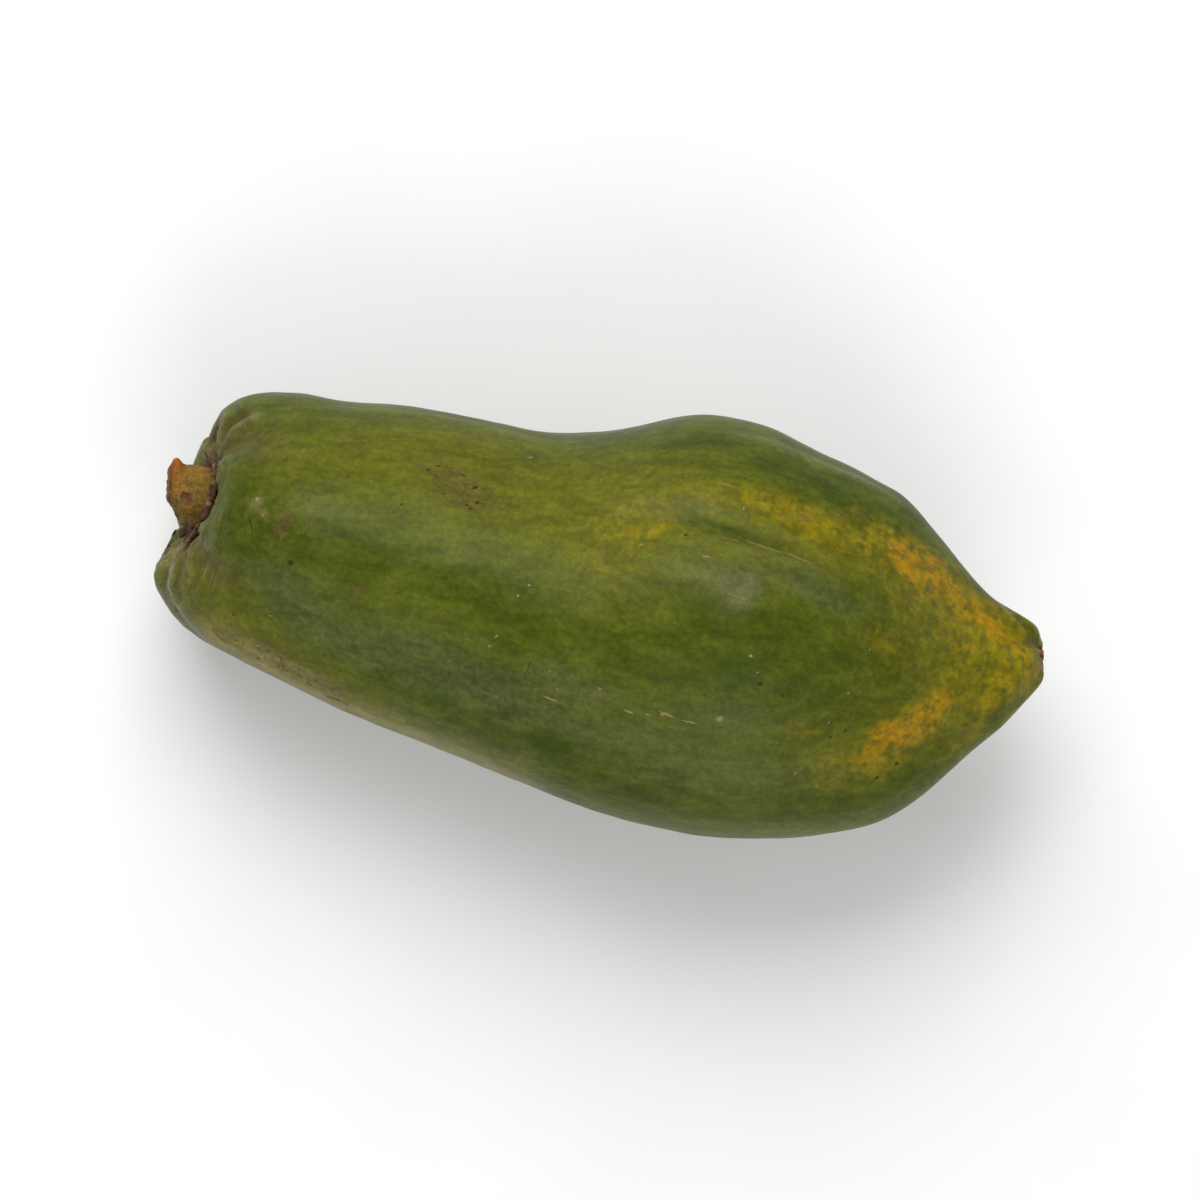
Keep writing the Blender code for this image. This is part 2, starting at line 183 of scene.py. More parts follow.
# Relief and colour of the fruit. Each pair of numbers is where a thing starts and where it is whole.
STALK_SKIN = (0.35, 0.25)  # shares of the meridian: the stalk end's relief
HOLLOW_TOP = (0.78, 0.60)  # shares of the section: the hollow's folds, from their top and from their foot
HOLLOW_FOOT = (0.26, 0.42)
HOLLOW_FOLDS = ((9.0, 2.4, 1.0), (21.0, 3.5, 0.6))  # how close they lie round it and up it, and strength
HOLLOW_PALE = (0.1, 0.8)  # height of the folds: their paleness, and its strength
HOLLOW_PALENESS = 0.6
HOLLOW_TAN = (0.74, 0.42)  # shares of the section: the hollow's tan
RIM_INSIDE = (0.45, 0.62)  # shares of the section: the rim's wrinkles
RIM_BACK = 10.0  # the angle where they are weakest, their strength there, and the cosine of what is in front
RIM_AT_BACK = 0.6
RIM_FRONT = (0.3, -0.6)
RIM_REACH = (6.0, 9.0)  # how far along the wrinkles reach at the back, and how much further at the front
WRINKLES_ROUND = 4.0  # how close they lie round the rim, and their size across it
WRINKLE_SIZE = 4.0
WRINKLE_HEIGHT = 0.45
LINES_ROUND = 3.5  # how close the lines that sweep round the rim lie, round it and across it
LINE_SIZE = 1.5
GROOVE_WIDTH = 1.4 * CREASE_WIDTH  # of the brown in the grooves, and where along the fruit it shows
GROOVE_AT_STALK = (26.0, 2.0)
GROOVE_AT_FLOWER = (280.0, 289.0)
CLEAN_GROOVE = 1  # the groove that has none at the flower end
TIP_RIPENS = (212.0, 290.0)
TIP_YELLOW = 0.28
UNDERSIDE = (0.1, -0.7)  # sine of the angle: the underside
UNDER_LUMP = 30.0
UNDER_BLOTCHES = (-0.15, 0.35)
UNDER_ORANGE = 0.6

# The stalk, at shares of its length.
STALK_FOOT = (0.0, 0.12)
STALK_TOP = (1.0, 0.93)
STALK_CUT = (0.96, 1.0)
BARK_STARTS = (0.02, 0.16)
BARK_RIDGES = (7.0, 1.2, 0.22)  # how close they lie round the stalk and along it, and their height
CUT_LUMPS = ((1.3, 0.35),)
KNOB_COLOUR = (0.92, 20.0, 0.26, 46.0, 1.0)
FOOT_COLOUR = (0.34, 0.10)
EDGE_COLOUR = (0.95, 0.035)
# Its two round scars: place, angle, half-width in degrees, width of the rim as a share, and its height.
FRONT_SCAR = (0.575, 98.0, 15.0, 0.22, 0.45)
BACK_SCAR = (0.60, 205.0, 16.0, 0.24, 0.35)
BRANCH_LENGTH = 0.165  # half-length of both
BRANCH_INSIDE = (1.15, 0.8)
BRANCH_FLOOR = (0.8, 0.2)
BRANCH_DEPTH = 0.3
RAGGED_LUMPS = ((2.2, 0.30), (0.9, 0.15))

CALYX_TOP = (-0.2, 0.5)  # sine of the angle round its edge: its crumpled upper side
CALYX_CRISPNESS = 0.5
SCAR_LUMPS = ((0.8, 0.10),)
SCAR_FACE = (0.5, 0.3)  # steps between which its face grows uneven
DARK_MIDDLE = (0.85, 0.55)  # shares of its height and of its radius, upwards
DARK_EDGE = (0.68, 0.45)  # shares of its radius
SCRAP_SIDES = 36
SCRAP_RINGS = 24
SCRAP_THICKNESS = 0.45  # share of its half-width
SCRAP_CRUMPLE = 0.35  # share of its size
SCRAP_LUMPS = 1.7
SCRAP_SEED = 20
SCRAP_CRISPNESS = 0.4
TORUS_RADIUS = 2.0  # of the ring that the calyx is bent from, for a tube of 1

LINE_FADE = 14.0  # length over which a ridge fades, and how far past its ends it reaches
LINE_PAST = 4.0
MARK_REACH = 1.2  # how far a mark is measured, against its larger half-size
MARK_EDGE = (1.30, 0.45)
DOT_EDGE = 0.55
MARK_MARGIN = 2.6  # room round a mark for its ragged edge
FAR_FROM_MARKS = 8.0  # what a mark's field says away from it
SEEN_PIXELS = 5.0  # how far from a pixel the skin may lie that the camera sees there
HIDDEN_BELOW = 9.0  # skin this far under the uppermost at a pixel is hidden by it

# The photograph: the pixel of the stalk's foot, the fruit's slope in degrees, the size of a pixel at the
# height of the outline, and the frame's width.
STALK_PIXEL = (200.0, 497.0)
SLOPE = 10.5
PIXEL = 0.3375
OUTLINE_HEIGHT = 60.0
FRAME_PIXELS = 1200.0
LENS = 300.0
SENSOR = 36.0
CAMERA_DISTANCE = FRAME_PIXELS * PIXEL * LENS / SENSOR
FACES_CAMERA = 0.03  # skin whose normal rises less isn't seen
WORLD_STRENGTH = 0.40

# Colours, linear.
# deep green of the skin, also used for painted shade
DEEP_GREEN_AND_SHADE = (0.042, 0.062, 0.002)
GREEN = (0.074, 0.094, 0.005)
PALE_GREEN = (0.105, 0.118, 0.012)
OLIVE = (0.118, 0.120, 0.006)
YELLOW = (0.235, 0.178, 0.004)
ORANGE = (0.310, 0.175, 0.004)
# grey of the waxy bloom, also used for painted sheen
BLOOM_AND_SHEEN_GREY = (0.085, 0.098, 0.046)
STAIN_BROWN = (0.105, 0.072, 0.024)
CORK_TAN = (0.360, 0.235, 0.115)
SCAB_BROWN = (0.030, 0.016, 0.009)
# brown of the flecks, also used for painted shade in the sunken folds
FLECK_AND_FOLD_SHADE_BROWN = (0.072, 0.040, 0.015)
SPECK_PALE = (0.300, 0.300, 0.170)
MOTTLE_GREY = (0.066, 0.080, 0.018)
# pale of lines and ridges, also used for painted sheen and painted highlights
PALE_LINE_AND_HIGHLIGHT = (0.250, 0.220, 0.090)
LINE_PINK = (0.300, 0.190, 0.110)
RIM_TAN = (0.210, 0.170, 0.055)
SMEAR_GREEN = (0.030, 0.050, 0.003)
STREAK_BROWN = (0.110, 0.052, 0.022)
BARK_ORANGE = (0.250, 0.126, 0.013)
BARK_BROWN = (0.128, 0.086, 0.016)
KNOB_ORANGE = (0.270, 0.080, 0.007)
FOOT_BROWN = (0.110, 0.085, 0.020)
CUT_PINK = (0.230, 0.105, 0.055)
EDGE_BROWN = (0.060, 0.024, 0.014)
BRANCH_BROWN = (0.125, 0.056, 0.026)
BRANCH_RIM = (0.240, 0.155, 0.045)
FIBRE_BROWN = (0.070, 0.035, 0.015)
PORE_BROWN = (0.030, 0.015, 0.010)
CALYX_DARK = (0.030, 0.014, 0.010)
CALYX_RED = (0.150, 0.065, 0.035)
CALYX_TAN = (0.260, 0.160, 0.070)
CALYX_EDGE = (0.300, 0.180, 0.100)
SCAR_RED = (0.240, 0.035, 0.012)
SCAR_ORANGE = (0.460, 0.130, 0.050)
SCAR_DARK = (0.020, 0.007, 0.005)
FLOOR_GREYS = ((0.86, 0.86, 0.86), (0.90, 0.90, 0.90))

# Broad patches of the skin: pixel, half-length, half-width, turn in degrees from the fruit's length towards
# its back, and strength from 0 to 1.
ORANGE_PATCHES = (
    (908, 560, 12, 8, -25, 0.8), (938, 574, 9, 6, -35, 0.75), (962, 596, 8, 3.6, -30, 0.35),
    (985, 622, 9, 4.6, -12, 0.75), (1008, 640, 7, 3.2, -20, 0.5), (772, 499, 6, 3, 0, 0.15),
    (806, 507, 6, 3, -5, 0.2), (643, 541, 6, 3, 0, 0.12), (624, 517, 4, 2.5, 0, 0.12),
    (936, 709, 10, 4.4, 33, 0.9), (886, 735, 9, 5.4, 42, 0.95), (916, 735, 9, 5.4, 25, 0.7),
    (868, 754, 5, 3, 55, 0.6), (806, 730, 10, 4, 0, 0.25),
)
YELLOW_PATCHES = (
    (905, 560, 24, 9, -22, 0.8), (960, 600, 20, 8, -28, 0.6), (1005, 640, 16, 8, -10, 0.6),
    (960, 645, 16, 7, 0, 0.52), (900, 600, 10, 5, -10, 0.32), (880, 640, 14, 7, 0, 0.3),
    (918, 722, 22, 9, 32, 0.85), (840, 770, 20, 9, 5, 0.4), (780, 505, 20, 7, 0, 0.47),
    (830, 535, 20, 8, -5, 0.45), (640, 528, 20, 9, 0, 0.46), (600, 565, 14, 7, 0, 0.3),
    (450, 440, 34, 8, 0, 0.2), (212, 636, 9, 6, -22, 0.4), (256, 660, 16, 6, -22, 0.65),
    (318, 692, 18, 5, -20, 0.5), (430, 746, 20, 5, -15, 0.45), (209, 440, 5, 9, 60, 0.5),
    (170, 560, 8, 8, 60, 0.5), (1005, 692, 14, 6, 40, 0.66), (960, 737, 12, 4, 38, 0.3),
    (1012, 622, 9, 3.4, -45, 0.35), (1018, 655, 10, 8, 0, 0.6), (990, 668, 14, 6, 10, 0.35),
    (215, 428, 6, 6, 40, 0.45), (205, 452, 4, 6, 60, 0.45), (700, 500, 30, 7, 0, 0.25),
)
OLIVE_PATCHES = (
    (420, 450, 60, 22, 0, 0.85), (560, 500, 50, 20, 0, 0.85), (690, 490, 40, 14, 0, 0.7),
    (620, 560, 30, 14, 0, 0.65), (300, 475, 30, 14, 0, 0.3), (212, 432, 8, 10, 40, 0.7),
    (800, 540, 40, 14, -5, 0.7), (950, 640, 34, 24, 0, 0.85), (880, 740, 40, 16, 15, 0.7),
    (960, 737, 14, 5, 38, 0.6), (270, 660, 40, 12, -20, 0.8), (430, 745, 40, 9, -16, 0.6),
    (660, 620, 40, 10, 0, 0.25), (180, 570, 12, 12, 60, 0.7),
)
# Deep green patches, partly the skin's own deeper green and partly painted shade along the furrow and at the
# fruit's upper and lower edges.
DEEP_AND_SHADE_PATCHES = (
    (550, 742, 10, 7, -8, 0.95), (551, 752, 7, 5, -8, 0.8), (495, 600, 24, 7, 0, 0.8),
    (470, 575, 24, 6, 0, 0.45), (620, 640, 30, 7, 0, 0.6), (735, 634, 22, 7, 0, 1),
    (800, 650, 22, 8, 0, 0.8), (690, 678, 24, 7, 0, 0.6), (255, 545, 13, 8, 0, 0.65),
    (235, 505, 7, 12, 0, 0.65), (240, 440, 8, 8, 0, 0.4), (330, 560, 24, 7, 0, 0.45),
    (700, 440, 26, 6, 0, 0.75), (705, 427, 34, 4, 0, 0.5), (320, 425, 40, 6, 0, 0.35),
    (720, 816, 40, 4, 5, 0.4), (850, 500, 20, 6, -8, 0.55), (820, 800, 26, 7, 8, 0.55),
    (706, 527, 8, 2, -6, 0.85), (732, 532, 9, 2, -9, 0.9), (760, 541, 9, 1.8, -13, 0.75),
    (952, 592, 6, 3.2, -20, 0.5), (925, 620, 8, 3.6, -10, 0.45), (1000, 664, 8, 3.4, 10, 0.4),
    (975, 650, 7, 3, 0, 0.4), (420, 655, 30, 8, 0, 0.45), (300, 600, 16, 8, 0, 0.3),
    (770, 690, 20, 8, 0, 0.55), (856, 600, 8, 5, 0, 0.45), (940, 670, 8, 4, 20, 0.4),
    (960, 566, 9, 3, -45, 0.55), (1000, 600, 8, 3, -35, 0.4),
)
# Waxy bloom, partly real and partly painted sheen: soft reflections of the lights in the middle and grazing
# sheen along the upper and lower edges.
BLOOM_AND_SHEEN_PATCHES = (
    (738, 590, 7, 6.5, 60, 0.8), (715, 578, 12, 5, 0, 0.45), (820, 590, 18, 5, -5, 0.6),
    (590, 690, 18, 5, 0, 0.45), (545, 672, 9, 5, 20, 0.45), (430, 660, 34, 11, -5, 0.65),
    (500, 700, 30, 9, -5, 0.7), (640, 740, 36, 9, 0, 0.6), (720, 720, 16, 6, 0, 0.45),
    (290, 590, 20, 10, -15, 0.6), (330, 640, 24, 8, -10, 0.55), (740, 780, 34, 8, 5, 0.45),
    (620, 435, 34, 4, 0, 0.6), (470, 420, 34, 3.5, 0, 0.45), (700, 505, 10, 3, 0, 0.3),
    (850, 815, 24, 4, 12, 0.45), (550, 590, 16, 8, 0, 0.2),
)
# Pale patches, partly the skin's own paler bands and lines and partly painted sheen: a highlight in the
# middle and grazing sheen along the lower edge.
PALE_AND_SHEEN_PATCHES = (
    (741, 592, 9, 4.6, 60, 0.46), (722, 576, 10, 4, 0, 0.26), (256, 503, 2, 3, -20, 0.7),
    (264, 514, 2.4, 1.6, -40, 0.45), (236, 640, 12, 4.4, -26, 0.6), (266, 657, 12, 5, -24, 0.85),
    (302, 675, 14, 4.6, -21, 0.7), (345, 700, 12, 4, -18, 0.25), (480, 751, 34, 4, -14, 0.4),
    (168, 578, 8, 7, 60, 0.5), (207, 436, 5, 8, 40, 0.3), (232, 430, 8, 4, 20, 0.24),
    (645, 505, 14, 5, 10, 0.22), (800, 586, 9, 3, -10, 0.25), (320, 505, 12, 4, 0, 0.2),
    (585, 690, 8, 4, 0, 0.15), (462, 556, 9, 3, 10, 0.15),
)
STAIN_PATCHES = (
    (450, 482, 10, 5, -15, 0.36), (470, 500, 5, 4, 0, 0.36), (430, 468, 6, 2, 0, 0.36),
    (470, 478, 5, 2, -20, 0.3), (284, 519, 3, 4.2, -20, 0.95), (277, 534, 3.8, 2.1, 0, 0.7),
    (325, 481, 3, 2.6, 0, 0.5), (360, 446, 3, 2.2, 0, 0.45), (603, 553, 3, 2.2, 0, 0.45),
    (641, 546, 2.6, 1.6, 0, 0.4), (705, 555, 3.4, 1.6, 0, 0.5), (804, 519, 3.6, 1.6, -5, 0.6),
    (840, 512, 3.4, 1.8, -5, 0.5), (906, 558, 3.4, 2.4, -20, 0.3), (964, 598, 3.6, 1.6, -30, 0.5),
    (950, 586, 3, 1.4, -30, 0.35), (873, 602, 3.4, 1.8, -5, 0.55), (338, 702, 6, 2.4, -14, 0.6),
    (400, 728, 6, 2, -12, 0.4), (430, 742, 6, 2.2, -12, 0.5), (473, 760, 4, 2, -12, 0.6),
    (262, 628, 4, 1.6, -10, 0.35), (311, 605, 4, 1.2, -50, 0.3), (356, 591, 1.4, 2.6, -12, 0.6),
    (322, 620, 4, 1.2, -60, 0.35), (884, 816, 16, 3, 14, 0.6), (960, 735, 6, 2, 40, 0.5),
    (905, 746, 6, 2, 35, 0.55), (190, 540, 3, 2, 60, 0.6), (1030, 640, 2.6, 1.4, 70, 0.7),
)
ROUGH_PATCHES = (
    (300, 672, 13, 5, -21, 1), (268, 655, 10, 4.6, -24, 0.8), (338, 698, 9, 4, -18, 0.95),
    (236, 642, 10, 3.6, -26, 0.5), (452, 480, 14, 6, -14, 0.95), (472, 500, 7, 5, 0, 0.95),
    (432, 467, 8, 3, 0, 0.7), (360, 447, 6, 3, 0, 0.35), (890, 815, 16, 3, 14, 0.6),
)
PATCHES = {
    "orange": ORANGE_PATCHES,
    "yellow": YELLOW_PATCHES,
    "olive": OLIVE_PATCHES,
    "deep_and_shade": DEEP_AND_SHADE_PATCHES,
    "bloom_and_sheen": BLOOM_AND_SHEEN_PATCHES,
    "pale": PALE_AND_SHEEN_PATCHES,
    "stain": STAIN_PATCHES,
    "rough": ROUGH_PATCHES,
}
PATCH_DEPTH = 1.5  # how far a patch reaches off its plane, against its larger half-size

# Small marks: pixel, half-length, half-width and turn. Scabs are dark, corks tan and specks pale. Threads are
# long and thin, streaks brown, and smears darken the green.
SCAB_MARKS = (
    (292, 562, 1.3, 1.1, 0), (250, 523, 3.4, 0.28, -60), (349, 476, 0.45, 0.4, 0), (474, 488, 1.1, 0.8, 60),
    (479, 504, 0.7, 0.9, 0), (465, 504, 0.7, 0.5, 30), (469, 509, 1, 0.4, 0), (438, 465, 1.4, 0.35, 20),
    (429, 470, 0.7, 0.4, 0), (462, 476, 1.4, 0.4, -30), (445, 495, 0.5, 0.4, 0), (401, 505, 0.4, 0.4, 0),
    (686, 534, 0.7, 0.5, 30), (762, 684, 0.9, 0.8, 0), (783, 697, 0.6, 0.5, 0), (234, 614, 0.7, 0.4, 0),
    (259, 659, 0.8, 0.7, 0), (337, 700, 2.4, 0.7, -15), (345, 704, 1.4, 0.5, -15),
    (326, 697, 1.4, 0.4, -25), (220, 638, 4.6, 0.22, -28), (210, 463, 0.8, 1.2, 0), (844, 731, 0.6, 0.5, 0),
    (897, 763, 0.9, 0.7, 0), (877, 778, 0.7, 0.6, 0), (829, 737, 0.5, 0.5, 0), (526, 668, 3.2, 0.13, 75),
    (746, 480, 0.5, 0.4, 0),
)
CORK_MARKS = (
    (257, 500, 0.9, 0.7, 10), (263, 515, 0.7, 0.4, -30), (720, 718, 1.3, 1.1, 0), (641, 545, 1, 0.4, 10),
    (704, 556, 1.4, 0.4, 8), (629, 711, 1.9, 0.45, -12), (648, 715, 0.9, 0.35, 0), (668, 716, 3, 0.5, -14),
    (664, 713, 0.8, 0.8, 30), (690, 721, 2.8, 0.34, -2), (552, 698, 2.6, 0.42, -8), (598, 690, 0.6, 0.5, 0),
    (530, 458, 1.1, 0.4, 35), (270, 615, 1.1, 0.25, 10), (257, 646, 0.8, 0.4, -20),
)
THREAD_MARKS = (
    (729, 539, 6.2, 0.45, 3), (766, 548, 7, 0.5, -6), (800, 557, 6.4, 0.45, -3), (727, 485, 4, 0.3, -4),
)
STREAK_MARKS = (
    (353, 590, 0.6, 2.6, -10), (359, 588, 0.45, 2.4, -12), (357, 599, 1.3, 0.5, 0), (340, 689, 1.4, 1, -10),
)
SPECK_MARKS = (
    (495, 635, 0.9, 0.35, 40), (488, 645, 0.6, 0.45, 40), (518, 596, 0.6, 0.4, 50),
    (530, 584, 0.5, 0.45, 0), (602, 481, 0.4, 0.4, 0), (603, 535, 0.35, 0.35, 0), (751, 657, 0.65, 0.55, 0),
    (756, 671, 0.35, 0.35, 0), (848, 694, 0.55, 0.4, 50), (925, 702, 0.45, 0.4, 0),
    (871, 651, 0.35, 0.35, 0), (943, 611, 0.5, 0.4, 0), (829, 724, 0.4, 0.35, 0), (794, 772, 0.45, 0.4, 0),
    (818, 786, 0.35, 0.35, 0), (745, 510, 0.35, 0.6, 0), (369, 482, 0.4, 0.3, 0), (558, 689, 0.5, 0.35, 0),
    (839, 515, 0.4, 0.35, 0),
)
SMEAR_MARKS = (
    (543, 738, 6.6, 4.4, -4), (556, 748, 6.4, 4.6, -12),
)
MARKS = {
    "scab": SCAB_MARKS,
    "cork": CORK_MARKS,
    "thread": THREAD_MARKS,
    "streak": STREAK_MARKS,
    "speck": SPECK_MARKS,
    "smear": SMEAR_MARKS,
}
# How strongly each kind of mark covers what lies under it, and its colour, from the lowest to the uppermost.
MARK_LOOKS = {
    "smear": (0.5, SMEAR_GREEN),
    "thread": (0.4, LINE_PINK),
    "streak": (0.6, STREAK_BROWN),
    "cork": (0.7, CORK_TAN),
    "speck": (0.7, SPECK_PALE),
    "scab": (0.9, SCAB_BROWN),
}

# Dry scraps of the calyx that cling to the rim round the stalk: pixel, half-length, half-width and turn.
SCRAPS = (
    (214, 467, 1.8, 1.2, 80), (220, 474, 1, 0.7, 40), (211, 491, 1.5, 1, 75), (206, 506, 2.6, 0.7, 68),
    (197, 520, 2.4, 0.8, 60), (184, 532, 2.3, 1.8, 60), (198, 533, 1.1, 0.8, 50), (206, 454, 1.9, 0.8, 75),
    (169, 528, 1.3, 0.6, 50), (167, 548, 1.7, 0.6, 35), (189, 538, 0.8, 0.5, 40),
)

# Fine ridges along the skin: points as distance along and angle, half-width in degrees, height, and paleness.
SKIN_LINES = (
    (((170, 25.0), (186, 24.0), (203, 22.8), (218, 21.0), (237, 19.5)), 2.2, 0.5, 0.50),
    (((36, 20.0), (60, 19.0), (116, 21.0)), 2.8, 0.3, 0.20),
    (((158, 67.0), (183, 66.0), (216, 67.0)), 2.4, 0.5, 0.15),
    (((156, 60.5), (172, 62.0), (184, 62.6), (196, 62.5)), 1.9, -1.1, 0.0),
    (((150, 54.0), (183, 56.5), (214, 59.0)), 2.4, 0.35, 0.15),
    (((4, 150.0), (60, 155.0), (137, 158.0)), 4.4, 0.35, 0.2),
    (((2, 152.0), (30, 159.0), (60, 161.0), (135, 163.0)), 12.0, 0.0, 0.75),
    (((150, 168.0), (190, 172.0), (236, 176.0)), 2.6, 0.5, 0.40),
    (((170, 180.0), (210, 184.0), (250, 186.0)), 2.4, 0.4, 0.22),
    (((60, 210.0), (120, 226.0), (200, 236.0), (258, 238.0)), 3.4, 0.5, 0.3),
    (((20, 292.0), (120, 304.0), (210, 306.0)), 3.4, 0.5, 0.3),
    (((110, 2.0), (150, 4.0), (190, -2.0), (240, -6.0)), 2.4, 0.4, 0.15),
    (((268, 8.0), (279, 23.0), (282.5, 37.0), (286, 53.0)), 5.0, -0.45, 0.0),
)

# Folds that bend across the skin: half-width in pixels, height, and the pixels that they pass through.
# Sunken folds get painted shade and raised ones a painted highlight.
FOLDS = (
    (3.6, -1.6, (223, 411), (217.5, 424), (213.5, 437), (212, 449)),
    (2.6, 0.9, (228, 412), (221.5, 425), (217.5, 438), (216, 449)),
    (4.0, -1.4, (252, 408), (238, 418), (229, 425), (223.5, 434), (220, 447)),
    (3.2, 0.9, (266, 414), (248, 421), (239, 425), (231, 431), (225.5, 440), (223, 452)),
    (3.0, 0.8, (193, 536), (182, 549), (173, 571), (170, 587), (177, 608)),
    (3.0, -0.7, (198, 537), (187, 551), (179, 572), (176, 588), (182, 606)),
    (2.6, 0.7, (191, 549), (190, 565), (195, 584)),
    (2.6, -0.8, (159, 557), (168, 546), (176, 534)),
    (1.8, -0.35, (1012, 614), (1022, 621), (1031, 632), (1036, 645)),
    (2.2, 0.25, (1006, 615), (1018, 624), (1027, 635), (1033, 648)),
)
FOLD_DEPTH = 1.4  # of a fold whose painted shade in a sink and highlight on a rise are whole
FOLD_ENDS = 8.0  # pixels over which a fold fades
# the strongest painted highlight on a raised fold
FOLD_HIGHLIGHT_MOST = 0.8
FOLD_FACES_UP = (-0.15, 0.1)  # rise of the skin's normal


def smooth_step(low, high, value):
    share = np.clip((value - low) / (high - low), 0.0, 1.0)
    return share * share * (3.0 - 2.0 * share)


def spline(places, values, wanted):
    """A natural cubic spline through values at places, read at wanted; past its ends it runs on straight."""
    x, y = np.asarray(places, float), np.asarray(values, float)
    gap = np.diff(x)
    slope = np.diff(y) / gap
    system = np.eye(len(x))
    right = np.zeros(len(x))
    for i in range(1, len(x) - 1):
        system[i, i - 1 : i + 2] = gap[i - 1], 2.0 * (gap[i - 1] + gap[i]), gap[i]
        right[i] = 3.0 * (slope[i] - slope[i - 1])
    bend = np.linalg.solve(system, right)
    nearest = np.clip(wanted, x[0], x[-1])
    i = np.clip(np.searchsorted(x, nearest) - 1, 0, len(gap) - 1)
    step = nearest - x[i]
    first = slope[i] - gap[i] * (2.0 * bend[i] + bend[i + 1]) / 3.0
    third = (bend[i + 1] - bend[i]) / (3.0 * gap[i])
    steepness = first + step * (2.0 * bend[i] + step * 3.0 * third)
    return y[i] + step * (first + step * (bend[i] + step * third)) + steepness * (wanted - nearest)


def steady_curve(values, wanted):
    """A smooth curve through evenly spaced values that never swings past them, read at wanted steps."""
    y = np.asarray(values, float)
    slope = np.diff(y)
    before, after = slope[:-1], slope[1:]
    same_way = before * after > 0
    middle = np.where(same_way, 2.0 * before * after / np.where(same_way, before + after, 1.0), 0.0)
    tangent = np.concatenate([[slope[0]], middle, [slope[-1]]])
    i = np.clip(np.floor(wanted).astype(int), 0, len(slope) - 1)
    t = wanted - i
    return (
        y[i] * (1 + 2 * t) * (1 - t) ** 2
        + tangent[i] * t * (1 - t) ** 2
        + y[i + 1] * t * t * (3 - 2 * t)
        + tangent[i + 1] * t * t * (t - 1)
    )


def meridian():
    """Distance along and share of the section, at each step from the stalk's pole to the flower's."""
    body = tuple((section[0], 1.0) for section in SECTIONS)
    return np.array(STALK_END + body + FLOWER_END, float)


LAST_STEP = len(STALK_END) + len(SECTIONS) + len(FLOWER_END) - 1


def lobe_place(angle, along):
    """Where an angle lies between two ridges, from 0 to 1, the degrees between, and the first's number."""
    turned = smooth_step(*RIDGES_TURN, along)
    at_stalk = np.array(RIDGES_AT_STALK + (RIDGES_AT_STALK[0] + 360.0,))
    at_belly = np.array(RIDGES_AT_BELLY + (RIDGES_AT_BELLY[0] + 360.0,))
    place, span, number = np.zeros_like(angle), np.full_like(angle, 360.0), np.zeros(angle.shape, int)
    for i in range(len(RIDGES_AT_STALK)):
        start = at_stalk[i] + turned * (at_belly[i] - at_stalk[i])
        stop = at_stalk[i + 1] + turned * (at_belly[i + 1] - at_stalk[i + 1])
        here = np.mod(angle - start, 360.0) / (stop - start)
        inside = here < 1.0
        place = np.where(inside, here, place)
        span = np.where(inside, stop - start, span)
        number = np.where(inside, i, number)
    return place, span, number


def rise_of_lobe(rises, place, number):
    """How far the lobes stand out, from each ridge's own rise down to a share of it in the grooves."""
    rises = np.array(rises)
    before, after = rises[number], rises[(number + 1) % len(rises)]
    between = before + (after - before) * smooth_step(0.0, 1.0, place)
    on_ridge = 0.5 + 0.5 * np.cos(2.0 * np.pi * place)
    return between * (GROOVE_RISE + (1.0 - GROOVE_RISE) * on_ridge)


def turned_away(angle, turn):
    return np.mod(angle - turn + 180.0, 360.0) - 180.0


def swelling(along, angle, middle, turn, half_length, half_width, height):
    away = turned_away(angle, turn)
    return height * np.exp(-(((along - middle) / half_length) ** 2) - (away / half_width) ** 2)


def fruit_surface(step, angle):
    """Points of the skin, at steps of the meridian and at angles in degrees from the back over the top."""
    along, share = (steady_curve(column, step) for column in meridian().T)
    places, *reaches = np.array(SECTIONS).T
    back, front, under, top = (spline(places, reach, along) for reach in reaches)
    at_stalk = smooth_step(*STALK_PART, step / LAST_STEP)
    at_flower = smooth_step(*FLOWER_PART, step / LAST_STEP)
    off_axis = share**2
    pole_y, pole_z = (a * at_stalk + b * (1.0 - at_stalk) for a, b in zip(STALK_AXIS, FLOWER_AXIS))
    centre_y = pole_y + ((back - front) / 2.0 - pole_y) * off_axis
    centre_z = pole_z + ((under + top) / 2.0 - pole_z) * off_axis

    place, span, number = lobe_place(angle, along)
    lobe = np.cos(2.0 * np.pi * place)
    crease = np.exp(-(((place - 0.5) * span / CREASE_WIDTH) ** 2))
    height = np.interp(along, *np.array(LOBES).T) * lobe
    height -= STALK_CREASE[0] * crease * smooth_step(STALK_CREASE[1], 0.0, along)
    flower_crease = FLOWER_CREASE[0] * crease * np.array(FLOWER_CREASES)[number]
    height -= flower_crease * smooth_step(FLOWER_CREASE[1], FLOWER_FLOOR, along)
    for one in SWELLINGS:
        height += swelling(along, angle, *one)
    off_floor = smooth_step(*STALK_WALL, share) * at_stalk
    off_floor += smooth_step(*FLOWER_WALL, share) * (1.0 - at_stalk)

    turn = np.radians(angle)
    y = ((back + front) / 2.0 * share + height * off_floor) * np.cos(turn)
    z = ((top - under) / 2.0 * share + height * off_floor) * np.sin(turn)
    rim = off_floor * smooth_step(*STALK_RIM, share) * at_stalk
    tip = off_floor * smooth_step(*FLOWER_RIM, share) * (1.0 - at_stalk)
    x = along - (rise_of_lobe(RIM_RISES, place, number) - STALK_CREASE[0] * crease) * rim
    x += (rise_of_lobe(TIP_RISES, place, number) - flower_crease) * tip
    x += (STALK_LEAN[0] * y + STALK_LEAN[1] * z) * smooth_step(*STALK_LEAN_FADES, along)
    leaning = at_flower * smooth_step(*FLOWER_LEAN_GROWS, share)
    x += (FLOWER_LEAN[0] * y + FLOWER_LEAN[1] * z) * leaning
    return np.stack([x, y + centre_y, z + centre_z], axis=-1)


